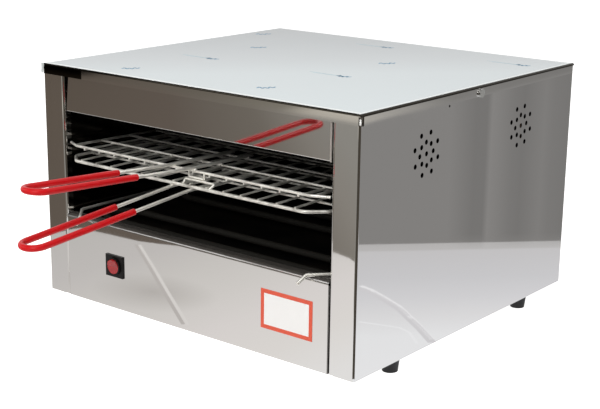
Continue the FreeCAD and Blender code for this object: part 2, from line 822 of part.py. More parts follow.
HAIRPIN_LEGS = [[f"front + first_element + {i} * hairpin_pitch",
                 f"front + first_element + {i} * hairpin_pitch + element_pitch"]
                for i in range(HAIRPINS)]
LEGS = [leg for pair in HAIRPIN_LEGS for leg in pair]
ELEMENT_LEVELS = ("lower_elements", "upper_elements")
GROMMET_PLACE = ("front + grommet_depth", "base + grommet_height")


def chamber_wall(node, sign):
    depth = ("chamber_front", "chamber_back + sheet_gauge + chamber_flange")
    wall = box(node + "_sheet", mirrored("wall_face", "wall_back", sign), depth,
               ("pan_floor", "chamber_top"))
    foot = box(node + "_foot", mirrored("wall_face", "wall_back + chamber_flange", sign), depth,
               ("pan_floor", "pan_floor + sheet_gauge"))
    head = box(node + "_head", mirrored("wall_face", "wall_back + chamber_flange", sign), depth,
               ("chamber_top - sheet_gauge", "chamber_top"))
    folded = fuse(node + "_folded", [wall, foot, head])
    folded.Refine = True
    if sign < 0:
        subpart(node, folded)
        return
    start = "wall_face - sheet_gauge"
    holes = [rod(f"{node}_{level}_{i}", "element_radius + element_hole_gap", (start, leg, level),
                 "3 * sheet_gauge", "x")
             for level in ELEMENT_LEVELS for i, leg in enumerate(LEGS)]
    holes.append(rod(node + "_grommet_hole", "grommet_hole", (start, *GROMMET_PLACE),
                     "3 * sheet_gauge", "x"))
    subpart(node, cut(node + "_drilled", folded, holes))


chamber_wall("left_chamber_wall", -1)
chamber_wall("right_chamber_wall", 1)

INSIDE = ("-(wall_face)", "wall_face")


def end_flanges(name, y, z):
    """A pair of flanges of one sheet's thickness against the chamber walls."""
    return [box(f"{name}_{sign + 1}", mirrored("wall_face - sheet_gauge", "wall_face", sign), y, z)
            for sign in (-1, 1)]


back_sheet = box("back_sheet", INSIDE, ("chamber_back", "chamber_back + sheet_gauge"),
                 ("tray_floor - chamber_flange", "chamber_top"))
back_flanges = end_flanges("back_flange", ("chamber_back", "chamber_back + chamber_flange"),
                           ("tray_floor - chamber_flange", "chamber_top"))
subpart("chamber_back_wall", fuse("back_folded", [back_sheet] + back_flanges))

ceiling_sheet = box("ceiling_sheet", INSIDE, ("chamber_front", "chamber_back"),
                    ("ceiling", "ceiling + sheet_gauge"))
ceiling_flanges = end_flanges("ceiling_flange", ("chamber_front", "chamber_back"),
                              ("ceiling", "chamber_top"))
subpart("chamber_ceiling", fuse("ceiling_folded", [ceiling_sheet] + ceiling_flanges))

TRAY_FRONT = "front + panel_lip"
tray_sheet = box("tray_sheet", INSIDE, (TRAY_FRONT, "chamber_back"),
                 ("tray_floor", "tray_floor + sheet_gauge"))
tray_front = box("tray_front", INSIDE, (TRAY_FRONT, f"{TRAY_FRONT} + sheet_gauge"),
                 ("tray_floor", "tray_floor + tray_upstand"))
tray_flanges = end_flanges("tray_flange", (TRAY_FRONT, "chamber_back"),
                           ("tray_floor - chamber_flange", "tray_floor + sheet_gauge"))
subpart("reflector_tray", fuse("tray_folded", [tray_sheet, tray_front] + tray_flanges))


# Angle rails that the lower grid slides on

def grid_rail(node, sign):
    depth = ("chamber_front", "chamber_back")
    leg = box(node + "_leg", mirrored("wall_face - rail_gauge", "wall_face", sign), depth,
              ("rail_top - rail_drop", "rail_top"))
    seat = box(node + "_seat", mirrored("wall_face - rail_width", "wall_face", sign), depth,
               ("rail_top - rail_gauge", "rail_top"))
    rail = fuse(node + "_folded", [leg, seat])
    rail.Refine = True
    subpart(node, rail)


grid_rail("left_grid_rail", -1)
grid_rail("right_grid_rail", 1)


# Wire runners beside the lower elements, hooked over the edge of the control panel

def runner(name, sign):
    def across(x):
        return f"({sign}) * ({x})"
    return bent_bar(name, [
        (across("runner_tail_x"), "front - runner_tail_reach", "runner_level - runner_tail_drop"),
        (across("runner_hook_x"), "front - 2 * runner_wire", "runner_level"),
        (across("runner_spread"), "front + runner_turn_depth", "runner_level"),
        (across("runner_spread"), "chamber_back", "runner_level"),
    ], "runner_wire", "2.5 * runner_wire")


subpart("lower_runners", group("runners", [runner("left_runner", -1), runner("right_runner", 1)]))


# Hairpin heating elements with their collars, ceramic beads, pins and links

def hairpin(name, legs, level):
    return bent_bar(name, [
        ("hairpin_end", legs[0], level),
        ("-element_reach + element_radius", legs[0], level),
        ("-element_reach + element_radius", legs[1], level),
        ("hairpin_end", legs[1], level),
    ], "element_radius", "element_pitch / 2")


for node, level in (("lower_heating_elements", "lower_elements"),
                    ("upper_heating_elements", "upper_elements")):
    subpart(node, group(node + "_set", [hairpin(f"{node}_{i}", legs, level)
                                        for i, legs in enumerate(HAIRPIN_LEGS)]))

ENDS = [(leg, level) for level in ELEMENT_LEVELS for leg in LEGS]
subpart("element_collars", group("collars", [
    ring(f"collar_{i}", "collar_radius", "element_radius + press_gap", ("wall_back", leg, level),
         "collar_length", "x") for i, (leg, level) in enumerate(ENDS)]))
subpart("element_ceramics", group("ceramics", [
    rod(f"ceramic_{i}", "ceramic_radius", ("hairpin_end", leg, level), "ceramic_length", "x")
    for i, (leg, level) in enumerate(ENDS)]))
subpart("element_pins", group("pins", [
    rod(f"pin_{i}", "pin_radius", ("ceramic_end", leg, level), "pin_length", "x")
    for i, (leg, level) in enumerate(ENDS)]))


def link(name, first, last, level, below="link_width / 2", above="link_width / 2"):
    """A brass strip over the pins from one leg to another, bored for each pin."""
    strip = box(name + "_strip", ("link_face", "link_face + link_gauge"),
                (f"{first} - link_width / 2", f"{last} + link_width / 2"),
                (f"{level} - ({below})", f"{level} + ({above})"))
    legs = [first] if first == last else [first, last]
    bores = [rod(f"{name}_bore_{i}", "pin_radius + press_gap",
                 ("link_face - link_gauge", leg, level), "3 * link_gauge", "x")
             for i, leg in enumerate(legs)]
    return cut(name, strip, bores)


links = []
for level in ELEMENT_LEVELS:
    for i, (left, right) in enumerate(zip(LEGS[1::2], LEGS[2::2])):
        links.append(link(f"{level}_link_{i}", left, right, level))
    for i, leg in enumerate((LEGS[0], LEGS[-1])):
        links.append(link(f"{level}_strip_{i}", leg, leg, level, "strip_reach", "strip_reach"))
subpart("terminal_links", group("links", links))


def element_bracket(name, legs, level):
    """An angle on the left wall that carries the bend of one hairpin."""
    middle = f"(({legs[0]}) + ({legs[1]})) / 2"
    depth = (f"{middle} - bracket_width / 2", f"{middle} + bracket_width / 2")
    under = f"{level} - element_radius"
    foot = f"max({under} - bracket_leg; tray_floor + 2 * sheet_gauge)"
    seat = box(name + "_seat", ("-(wall_face)", "-element_reach + bracket_overlap"), depth,
               (f"{under} - bracket_gauge", under))
    leg = box(name + "_leg", ("-(wall_face)", "-(wall_face) + bracket_gauge"), depth, (foot, under))
    angle = fuse(name, [seat, leg])
    angle.Refine = True
    return angle


subpart("element_brackets", group("brackets", [
    element_bracket(f"{level}_bracket_{i}", legs, level)
    for level in ELEMENT_LEVELS for i, legs in enumerate(HAIRPIN_LEGS)]))


# Wiring and the pieces it runs between

grommet_body = fuse("grommet_body", [
    rod("grommet_waist", "grommet_hole", ("wall_face - grommet_rim", *GROMMET_PLACE),
        "sheet_gauge + 2 * grommet_rim", "x"),
    rod("grommet_inner_rim", "grommet_hole + grommet_rim", ("wall_face - grommet_rim", *GROMMET_PLACE),
        "grommet_rim", "x"),
    rod("grommet_outer_rim", "grommet_hole + grommet_rim", ("wall_back", *GROMMET_PLACE),
        "grommet_rim", "x"),
])
subpart("wall_grommet", cut("grommet", grommet_body, [
    rod("grommet_through", "grommet_bore", ("wall_face - 2 * grommet_rim", *GROMMET_PLACE),
        "sheet_gauge + 4 * grommet_rim", "x")]))

subpart("terminal_block",
        box("block", ("block_x - block_width / 2", "block_x + block_width / 2"),
            ("block_front", "block_front + block_depth"), ("pan_floor", "pan_floor + block_height")))
BLOCK_SCREW_XS = [f"block_x + ({i - (BLOCK_SCREWS - 1) / 2}) * block_screw_pitch"
                  for i in range(BLOCK_SCREWS)]
subpart("terminal_screws", group("block_screws", [
    rod(f"block_screw_{i}", "block_screw_radius",
        (x, "block_front + block_depth / 2", "pan_floor + block_height"), "block_screw_height")
    for i, x in enumerate(BLOCK_SCREW_XS)]))

TAB_XS = ("switch_x - tab_pitch / 2", "switch_x + tab_pitch / 2")
TAB_END = "front + housing_depth + tab_length"
WIRE_OUT = "base + block_wire_height"
CAVITY_X = "link_face + link_gauge / 2"
STRIP_FOOT = "lower_elements - strip_reach"
NEAR_Y, NEAR_Z = "front + grommet_depth - grommet_shift_y", "base + grommet_height - grommet_shift_z"
FAR_Y, FAR_Z = "front + grommet_depth + grommet_shift_y", "base + grommet_height + grommet_shift_z"

live_wire = bent_bar("live_wire", [
    (BLOCK_SCREW_XS[0], "block_front", WIRE_OUT),
    (BLOCK_SCREW_XS[0], "block_front - 3 * wire_bend", WIRE_OUT),
    ("block_x - 5 * wire_bend", "block_front - 8 * wire_bend", "base + 5"),
    ("switch_x + 4 * wire_bend", "front + 20 * wire_bend", "base + 5"),
    (TAB_XS[0], f"{TAB_END} + 9 * wire_bend", "base + 5"),
    (TAB_XS[0], f"{TAB_END} + 4 * wire_bend", "switch_level"),
    (TAB_XS[0], TAB_END, "switch_level"),
], "wire_radius", "wire_bend")
switched_wire = bent_bar("switched_wire", [
    (TAB_XS[1], TAB_END, "switch_level"),
    (TAB_XS[1], f"{TAB_END} + 4 * wire_bend", "switch_level"),
    (TAB_XS[1], f"{TAB_END} + 8 * wire_bend", "base + 12"),
    ("switch_x + 6 * wire_bend", "front + 16 * wire_bend", "base + 12"),
    ("wall_face - 6 * wire_bend", f"{NEAR_Y} - 4 * wire_bend", "base + 12"),
    ("wall_face - 2 * wire_bend", NEAR_Y, NEAR_Z),
    (CAVITY_X, NEAR_Y, NEAR_Z),
    (CAVITY_X, LEGS[0], NEAR_Z),
    (CAVITY_X, LEGS[0], STRIP_FOOT),
], "wire_radius", "wire_bend")
neutral_wire = bent_bar("neutral_wire", [
    (BLOCK_SCREW_XS[-1], "block_front", WIRE_OUT),
    (BLOCK_SCREW_XS[-1], "block_front - 2 * wire_bend", WIRE_OUT),
    ("wall_face - 2 * wire_bend", FAR_Y, FAR_Z),
    ("wall_back + wire_bend", FAR_Y, FAR_Z),
    (CAVITY_X, LEGS[-1], f"{STRIP_FOOT} - 2 * wire_bend"),
    (CAVITY_X, LEGS[-1], STRIP_FOOT),
], "wire_radius", "wire_bend")
subpart("mains_wires", group("mains_set", [live_wire, switched_wire, neutral_wire]))
subpart("element_wires", group("riser_set", [
    rod(f"riser_{i}", "wire_radius", (CAVITY_X, leg, "lower_elements + strip_reach"),
        "upper_elements - lower_elements - 2 * strip_reach")
    for i, leg in enumerate((LEGS[0], LEGS[-1]))]))

gland_outside = fuse("gland_outside", [
    hexagon("gland_hex", "gland_nut_width", ("gland_x", "back", "base + gland_height"),
            "gland_nut_length", "y"),
    rod("gland_dome", "gland_body", ("gland_x", "back", "base + gland_height"), "gland_reach", "y"),
    rod("gland_threads", "gland_thread",
        ("gland_x", "back - gland_thread_length", "base + gland_height"),
        "gland_thread_length + gland_nut_length", "y"),
])
subpart("cable_gland", cut("gland", gland_outside, [
    rod("gland_way", "gland_bore", ("gland_x", "back - 2 * gland_thread_length", "base + gland_height"),
        "2 * gland_thread_length + 2 * gland_reach", "y")]))
NUT_FACE = "back - sheet_gauge - gland_nut_length"
subpart("gland_nut", cut("gland_nut_bored", hexagon(
    "gland_nut_blank", "gland_nut_width", ("gland_x", NUT_FACE, "base + gland_height"),
    "gland_nut_length", "y"), [
    rod("gland_nut_bore", "gland_thread + press_gap", ("gland_x", NUT_FACE, "base + gland_height"),
        "gland_nut_length", "y")]))

EARTH = ("earth_x", "front + earth_depth")
subpart("earth_stud", rod("stud", "earth_radius", (*EARTH, "base - earth_nut_length"),
                          "earth_length"))
subpart("earth_nuts", group("stud_nuts", [
    cut(f"earth_nut_{i}", hexagon(f"earth_nut_blank_{i}", "earth_nut_width", (*EARTH, low),
                                  "earth_nut_length"),
        [rod(f"earth_nut_bore_{i}", "earth_radius + press_gap", (*EARTH, low), "earth_nut_length")])
    for i, low in enumerate(("base - earth_nut_length", "pan_floor",
                             "pan_floor + earth_nut_length"))]))


# Rocker switch: a bezel with a round collar, a housing behind the panel, and a tilting lens

SWITCH = ("switch_x", "rocker_pivot", "switch_level")
BEZEL_FACE = "front - bezel_gauge"
bezel = box("bezel", ("switch_x - bezel_width / 2", "switch_x + bezel_width / 2"),
            (BEZEL_FACE, "front"),
            ("switch_level - bezel_height / 2", "switch_level + bezel_height / 2"))
housing = box("housing", ("switch_x - housing_width / 2", "switch_x + housing_width / 2"),
              (BEZEL_FACE, "front + housing_depth"),
              ("switch_level - housing_height / 2", "switch_level + housing_height / 2"))
collar = rod("switch_collar", "rocker_collar",
             ("switch_x", f"{BEZEL_FACE} - rocker_standing + rocker_face / 4", "switch_level"),
             "bezel_gauge + rocker_standing - rocker_face / 4", "y")
well = rod("rocker_well_bore", "rocker_hole",
           ("switch_x", f"{BEZEL_FACE} - 2 * rocker_standing", "switch_level"),
           "2 * rocker_standing + rocker_well", "y")
pin_hole = rod("rocker_pin_hole", "rocker_pin + pivot_clearance",
               ("switch_x - rocker_pin_reach - pivot_clearance", "rocker_pivot", "switch_level"),
               "2 * (rocker_pin_reach + pivot_clearance)", "x")
subpart("switch_body", cut("switch_shell", fuse("switch_solid", [bezel, housing, collar]),
                           [well, pin_hole]))
subpart("switch_tabs", group("tabs", [
    box(f"tab_{i}", (f"{x} - tab_gauge / 2", f"{x} + tab_gauge / 2"),
        ("front + housing_depth", TAB_END),
        ("switch_level - tab_width / 2", "switch_level + tab_width / 2"))
    for i, x in enumerate(TAB_XS)]))


def rocker_shape():
    """A ball turned flat at both ends, with a shallow valley across its face and two pivot pins.

    It is drawn about its pivot, upright, with the face towards -Y.
    """
    radius, face, back = size("rocker_radius"), -size("rocker_face"), size("rocker_back")
    face_edge = V(math.sqrt(radius ** 2 - face ** 2), face, 0)
    back_edge = V(math.sqrt(radius ** 2 - back ** 2), back, 0)
    half = Part.Wire([
        Part.LineSegment(V(0, face, 0), face_edge).toShape(),
        Part.Arc(face_edge, V(radius, 0, 0), back_edge).toShape(),
        Part.LineSegment(back_edge, V(0, back, 0)).toShape(),
        Part.LineSegment(V(0, back, 0), V(0, face, 0)).toShape(),
    ])
    lens = Part.Face(half).revolve(V(), V(0, 1, 0), 360)
    valley = [V(-radius, face, radius), V(-radius, face + size("rocker_valley"), 0),
              V(-radius, face, -radius), V(-radius, face - 1, -radius), V(-radius, face - 1, radius)]
    wedge = Part.Face(Part.makePolygon(valley + valley[:1])).extrude(V(2 * radius, 0, 0))
    reach = size("rocker_pin_reach")
    pins = Part.makeCylinder(size("rocker_pin"), 2 * reach, V(-reach, 0, 0), V(1, 0, 0))
    return lens.cut(wedge).fuse(pins)


rocker_rest = FreeCAD.Placement(point(*SWITCH), FreeCAD.Rotation(V(1, 0, 0), size("rocker_tilt")))
subpart("switch_rocker", feature("rocker", rocker_shape(), rocker_rest))


# Feet, each with its screw from below and a nut on the pan

def foot(name, sign_x, depth):
    cone = doc.addObject("Part::Cone", name + "_cone")
    bind(cone, Radius1="foot_bottom_radius", Radius2="foot_top_radius", Height="foot_height")
    put(cone, foot_x(sign_x), depth, "0")
    recess = rod(name + "_recess", "foot_recess", (foot_x(sign_x), depth, "0"), "foot_recess_depth")
    bore = rod(name + "_bore", "screw_radius + screw_gap", (foot_x(sign_x), depth, "0"), "foot_height")
    return cut(name, cone, [recess, bore])


def foot_screw(name, sign_x, depth):
    head = rod(name + "_head", "screw_head_radius",
               (foot_x(sign_x), depth, "foot_recess_depth - screw_head_height"), "screw_head_height")
    shank = rod(name + "_shank", "screw_radius",
                (foot_x(sign_x), depth, "foot_recess_depth - screw_head_height"),
                "pan_floor + nut_height + sheet_gauge - foot_recess_depth + screw_head_height")
    return fuse(name, [head, shank])


def foot_nut(name, sign_x, depth):
    low = (foot_x(sign_x), depth, "pan_floor")
    return cut(name, hexagon(name + "_blank", "nut_width", low, "nut_height"),
               [rod(name + "_bore", "screw_radius + press_gap", low, "nut_height")])


for node, maker in (("rubber_feet", foot), ("foot_screws", foot_screw), ("foot_nuts", foot_nut)):
    subpart(node, group(node + "_set", [maker(f"{node}_{i}", *place)
                                        for i, place in enumerate(FOOT_PLACES)]))


# Screws of the cover and the rear panel

def screw_outward(name, head_radius, face, sign, across, level, axis, grip):
    """A pan-head screw whose head sits on a face and whose shank goes back through it."""
    head_start = face if sign > 0 else f"{face} - screw_head_height"
    shank_start = f"{face} - {grip}" if sign > 0 else face
    starts = [(head_start, across), (shank_start, across)]
    if axis == "y":
        starts = [(across, start) for start, across in starts]
    head = rod(name + "_head", head_radius, (*starts[0], level), "screw_head_height", axis)
    shank = rod(name + "_shank", "screw_radius", (*starts[1], level), grip, axis)
    return fuse(name, [head, shank])


cover_screws = [
    screw_outward(f"cover_side_screw_{sign + 1}", "cover_screw_head",
                  f"({sign}) * (side + sheet_gauge)", sign, "front + cover_screw_depth",
                  "cover_screw_level", "x", "(2 * sheet_gauge + screw_tail)")
    for sign in (-1, 1)]
cover_screws += [
    screw_outward(f"cover_rear_screw_{sign + 1}", "screw_head_radius", "back + sheet_gauge", 1,
                  f"({sign}) * cover_screw_x", "cover_screw_level", "y",
                  "(2 * sheet_gauge + screw_tail)")
    for sign in (-1, 1)]
subpart("cover_screws", group("cover_screw_set", cover_screws))
subpart("rear_screws", group("rear_screw_set", [
    screw_outward(f"rear_screw_{i}", "screw_head_radius", "back", 1, rear_screw_x(sign), level, "y",
                  "(2 * sheet_gauge + screw_tail)")
    for i, (sign, level) in enumerate(REAR_SCREW_PLACES)]))


# Lower grid: a bent frame, cross wires in its plane and depth wires on top

WIRE_XS = [f"({i - (DEPTH_WIRES - 1) / 2}) * wire_pitch" for i in range(DEPTH_WIRES)]
lower_frame = bent_bar("lower_frame", [
    ("-lower_front_half", "hinge_line", "grid_level"),
    ("-lower_frame_spread", "hinge_line", "grid_level"),
    ("-lower_frame_spread", "grid_front + lower_corner_depth", "grid_level"),
    ("-lower_front_half", "grid_front", "grid_level"),
    ("lower_front_half", "grid_front", "grid_level"),
    ("lower_frame_spread", "grid_front + lower_corner_depth", "grid_level"),
    ("lower_frame_spread", "hinge_line", "grid_level"),
    ("lower_front_half", "hinge_line", "grid_level"),
], "lower_frame_wire", "4 * lower_frame_wire")
lower_rear = rod("lower_rear_wire", "lower_frame_wire",
                 ("-lower_front_half", "hinge_line", "grid_level"), "2 * lower_front_half", "x")
lower_depth = [rod(f"lower_depth_wire_{i}", "depth_wire",
                   (x, "grid_front - depth_wire", "grid_level + cross_lift"),
                   "hinge_line - grid_front + depth_wire", "y")
               for i, x in enumerate(WIRE_XS)]
lower_cross = [rod(f"lower_cross_wire_{i}", "cross_wire",
                   ("-lower_frame_spread",
                    f"grid_front + lower_first_cross + {i} * lower_cross_pitch", "grid_level"),
                   "2 * lower_frame_spread", "x")
               for i in range(LOWER_CROSS_WIRES)]
subpart("lower_grid", fuse("lower_net", [lower_frame, lower_rear] + lower_depth + lower_cross))


# Upper grid: drawn level about the hinge line, depth wires below, then tilted up at the front

upper_rest = FreeCAD.Placement(point("0", "hinge_line", "grid_level"),
                               FreeCAD.Rotation(V(-1, 0, 0), size("grid_tilt")))
UPPER_FRONT = "-upper_grid_length"
upper_front = bent_bar("upper_front_wire", [
    ("-ear_spread", f"{UPPER_FRONT} + ear_depth", "hinge_lift"),
    ("-upper_front_half", UPPER_FRONT, "hinge_lift"),
    ("upper_front_half", UPPER_FRONT, "hinge_lift"),
    ("ear_spread", f"{UPPER_FRONT} + ear_depth", "hinge_lift"),
], "upper_frame_wire", "4 * upper_frame_wire")
upper_sides = bent_bar("upper_side_wires", [
    ("-upper_frame_spread", f"{UPPER_FRONT} + upper_frame_wire", "hinge_lift"),
    ("-upper_frame_spread", "0", "hinge_lift"),
    ("upper_frame_spread", "0", "hinge_lift"),
    ("upper_frame_spread", f"{UPPER_FRONT} + upper_frame_wire", "hinge_lift"),
], "upper_side_wire", "4 * upper_frame_wire")
upper_depth = [rod(f"upper_depth_wire_{i}", "depth_wire",
                   (x, f"{UPPER_FRONT} - depth_wire", "hinge_lift - cross_lift"),
                   "upper_grid_length + depth_wire", "y")
               for i, x in enumerate(WIRE_XS)]
upper_cross = [rod(f"upper_cross_wire_{i}", "cross_wire",
                   ("-upper_frame_spread",
                    f"{UPPER_FRONT} + upper_first_cross + {i} * upper_cross_pitch", "hinge_lift"),
                   "2 * upper_frame_spread", "x")
               for i in range(UPPER_CROSS_WIRES)]
upper_net = fuse("upper_net", [upper_front, upper_sides] + upper_depth + upper_cross)
upper_net.Placement = upper_rest
bind(upper_net, **{"Placement.Base.y": "hinge_line", "Placement.Base.z": "grid_level",
                   "Placement.Rotation.Angle": "grid_tilt"})
subpart("upper_grid", upper_net)


# Hinge eyes of the upper grid round the rear wire of the lower one

def hinge_eye(sign):
    ring_radius = size("lower_frame_wire + eye_clearance + eye_wire")
    wire = size("eye_wire")
    middle = V(sign * size("4 * wire_pitch"), 0, 0)
    eye = Part.makeTorus(ring_radius, wire, middle, V(1, 0, 0))
    stem_top = size("hinge_lift - upper_side_wire + weld_bite")
    stem = Part.makeCylinder(wire, stem_top - ring_radius, middle + V(0, 0, ring_radius))
    return feature(f"hinge_eye_{sign + 1}", eye.fuse(stem), upper_rest)


subpart("hinge_eyes", group("eyes", [hinge_eye(sign) for sign in (-1, 1)]))


# Bridge on the lower grid and the stop of the upper grid that rests on it

subpart("grid_bridge", bent_bar("bridge", [
    ("bridge_left", "grid_front", "grid_level + lower_frame_wire - post_bite"),
    ("bridge_left", "front + grid_rear_depth - upper_grid_length", "grid_level + bridge_rise"),
    ("bridge_right", "front + grid_rear_depth - upper_grid_length", "grid_level + bridge_rise"),
    ("bridge_foot_right", "grid_front", "grid_level + lower_frame_wire - post_bite"),
], "bridge_wire", "1.2 * bridge_wire"))

STOP_LEVEL = ("bridge_rise + 2 * bridge_wire + stop_clearance"
              " - (upper_front_rise - hinge_lift)")
subpart("grid_stop", bent_bar("stop", [
    ("stop_left", UPPER_FRONT, "hinge_lift - upper_frame_wire + post_bite"),
    ("stop_left", UPPER_FRONT, STOP_LEVEL),
    ("stop_right", UPPER_FRONT, STOP_LEVEL),
    ("stop_right", UPPER_FRONT, "hinge_lift - upper_frame_wire + post_bite"),
], "bridge_wire", "1.2 * bridge_wire", upper_rest))


# Handles: a loop of wire welded outside each grid, with a red sleeve over its outer part

def loop_points(tail, knee, tip, start=None):
    """Corners of a handle loop from its right tail round the tip to its left tail.

    tail, knee and tip are (y, z) places; start, if given, is where a sleeve begins between
    the knee and the tip.
    """
    side_line = [tail, knee, tip]
    if start is not None:
        run = (tip[0] - knee[0], tip[1] - knee[1])
        share = (start - knee[0]) / run[0]
        side_line = [(start, knee[1] + share * run[1]), tip]
    spread = size("handle_half_spread")
    right = [V(spread, y, z) for y, z in side_line]
    return right + [V(-corner.x, corner.y, corner.z) for corner in reversed(right)]


def handle(node, tail, knee, tip, sleeve_start, placement=None):
    spread = size("handle_half_spread")
    wire = size("handle_wire")
    loop = rounded_loop(loop_points(tail, knee, tip), spread)
    subpart(node, feature(node + "_loop", sweep(loop, wire), placement))
    covered = rounded_loop(loop_points(tail, knee, tip, sleeve_start), spread)
    sleeve = sweep(covered, size("sleeve_radius")).cut(sweep(covered, wire + size("sleeve_gap")))
    subpart(node + "_sleeve", feature(node + "_sleeve_tube", sleeve, placement))


def rounded_loop(points, spread):
    """The loop's path: a half circle at the tip, and a gentle bend at each knee."""
    middle = len(points) // 2
    before, after = points[middle - 1], points[middle]
    straight = points[:middle - 1]
    heading = (before - straight[-1]).normalize()
    tangent_right = before - heading * spread
    tangent_left = V(-tangent_right.x, tangent_right.y, tangent_right.z)
    tip = V(0, before.y, before.z)
    right = bent_path(straight + [tangent_right], 4 * spread).Edges
    left = [edge.mirror(V(), V(1, 0, 0)) for edge in right]
    bend = Part.Arc(tangent_right, tip, tangent_left).toShape()
    return Part.Wire(Part.__sortEdges__(right + [bend] + left))


lower_tail_z = size("grid_level - lower_frame_wire - handle_wire + weld_bite")
handle("lower_handle",
       (size("front + lower_tail_depth"), lower_tail_z),
       (size("grid_front - lower_frame_wire"), lower_tail_z),
       (size("front - lower_handle_reach + sleeve_radius"),
        lower_tail_z - size("lower_handle_drop")),
       size("front - lower_sleeve_start"))

upper_tail_z = size("hinge_lift + upper_frame_wire + handle_wire - weld_bite")
upper_front_y = size(UPPER_FRONT)
front_from_hinge = size("front - hinge_line")
upper_run = size("upper_handle_reach - sleeve_radius") + front_from_hinge - upper_front_y
tilted_rise = upper_run * math.tan(math.radians(size("grid_tilt")))
handle("upper_handle",
       (size("upper_tail_depth") + front_from_hinge, upper_tail_z),
       (upper_front_y - size("upper_frame_wire"), upper_tail_z),
       (front_from_hinge - size("upper_handle_reach - sleeve_radius"),
        upper_tail_z + size("upper_handle_rise") - tilted_rise),
       front_from_hinge - size("upper_sleeve_start"),
       upper_rest)


# Recompute, test and write every sub-part

doc.recompute()
failed = [item.Name for item in doc.Objects if {"Invalid", "Error"} & set(item.State)]
if failed:
    raise RuntimeError(f"objects that failed: {failed}")
for node, piece in SUBPARTS.items():
    if piece.Shape.isNull() or not piece.Shape.isValid() or not piece.Shape.Solids:
        raise RuntimeError(f"sub-part {node} has no valid shape")

os.makedirs("parts", exist_ok=True)
for node, piece in SUBPARTS.items():
    piece.Shape.exportStep(f"parts/{node}.step")
    limits = piece.Shape.BoundBox
    print(f"{node:24s} {len(piece.Shape.Solids):3d} solids  {piece.Shape.Volume / 1000:9.2f} cm3  "
          f"x {limits.XMin:8.2f} {limits.XMax:8.2f}  y {limits.YMin:8.2f} {limits.YMax:8.2f}  "
          f"z {limits.ZMin:7.2f} {limits.ZMax:7.2f}")
print(f"{len(SUBPARTS)} nodes written")
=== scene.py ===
# %% [markdown]
# # A counter-top toaster of folded steel and bent wire
#
# The toaster is a steel box with an open front. Two wire grids, hinged together at the back,
# slide out of it on rails, each pulled by a wire loop in a red sleeve.
#
# The solids arrive finished from the frame, so this lesson is about what they are made of and how
# they are lit: polished sheet, milky film, plated wire, dipped vinyl, moulded plastic and a few
# small details that are easier to model here. It goes from the finishes to the small pieces, and
# then to the studio and the camera.

# %% Load the frame
import math

import bpy
import bmesh
from mathutils import Matrix, Vector


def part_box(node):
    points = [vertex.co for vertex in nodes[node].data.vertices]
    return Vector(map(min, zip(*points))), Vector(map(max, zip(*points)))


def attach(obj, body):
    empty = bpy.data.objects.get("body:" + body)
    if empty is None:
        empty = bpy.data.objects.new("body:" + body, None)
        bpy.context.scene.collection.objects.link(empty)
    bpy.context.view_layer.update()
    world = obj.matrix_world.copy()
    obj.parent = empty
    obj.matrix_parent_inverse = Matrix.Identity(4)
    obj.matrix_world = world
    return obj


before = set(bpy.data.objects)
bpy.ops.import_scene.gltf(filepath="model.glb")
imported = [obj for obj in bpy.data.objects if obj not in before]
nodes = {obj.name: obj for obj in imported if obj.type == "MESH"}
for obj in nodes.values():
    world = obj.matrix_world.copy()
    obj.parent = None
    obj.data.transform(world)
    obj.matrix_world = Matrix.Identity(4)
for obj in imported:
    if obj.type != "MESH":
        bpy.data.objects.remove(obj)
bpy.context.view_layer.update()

# %% [markdown]
# ## Places on the casing
#
# Finishes change at places such as the lid's edge or the panel's lip. The places could be typed
# in again, but read from the frame they follow the solids. The front of the casing is the front
# of the control panel, and the counter is at zero height. Lengths are in metres.

# %% Read the places
MM = 0.001
panel_low, panel_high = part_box("control_panel")
FRONT = panel_low.y
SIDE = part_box("right_side_panel")[1].x
LID_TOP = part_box("top_cover")[1].z
print(f"front at y = {FRONT:.4f}, side at x = {SIDE:.4f}, lid top at z = {LID_TOP:.4f}")

# %% [markdown]
# ## Shading small curves smoothly
#
# The frame's wires and bends are made of narrow flat faces. More faces would make them rounder
# and the file heavier. Marking every face smooth and every edge over 30 degrees sharp lets light
# run round a wire while folds of the sheet stay crisp, and no vertex moves.

# %% Smooth faces, sharp folds
FOLD_ANGLE = math.radians(30)


def shade(mesh):
    """Smooth shading that still breaks at folds."""
    mesh.shade_smooth()
    mesh.set_sharp_from_angle(angle=FOLD_ANGLE)


for node in nodes.values():
    shade(node.data)
print(f"{len(nodes)} meshes shaded smooth")

# %% [markdown] ## A small kit for node materials  Every finish below starts from one Principled
# shader. Its nodes could be placed by hand in the shader editor or by long runs of calls. It
# comes in three steps: the tree, patterns to drive it, and colours and relief.

# %% The tree
class Tree:
    """One node material, with its Principled shader at hand."""

    def __init__(self, name, colour, roughness, metallic=0.0):
        self.material = bpy.data.materials.new(name)
        self.material.use_nodes = True
        self.tree = self.material.node_tree
        self.shader = self.tree.nodes["Principled BSDF"]
        self.set("Base Color", (*colour, 1.0))
        self.set("Roughness", roughness)
        self.set("Metallic", metallic)
        self.place = self.node("ShaderNodeTexCoord").outputs["Object"]

    def set(self, socket, value):
        self.shader.inputs[socket].default_value = value

    def node(self, kind, **settings):
        made = self.tree.nodes.new(kind)
        for name, value in settings.items():
            setattr(made, name, value)
        return made

    def link(self, output, target):
        self.tree.links.new(output, target)


print("a tree can", ", ".join(word for word in vars(Tree) if word[0] != "_"))

# %% [markdown]
# ### Patterns
#
# A stain, a grain or a border is a number that changes over the surface. It could come from an
# unwrapped picture, but then each piece would need a layout of its own. Object coordinates, which
# for these nodes are metres in the toaster's own frame, run on from piece to piece, so noise and
# measured distances are laid out in them.

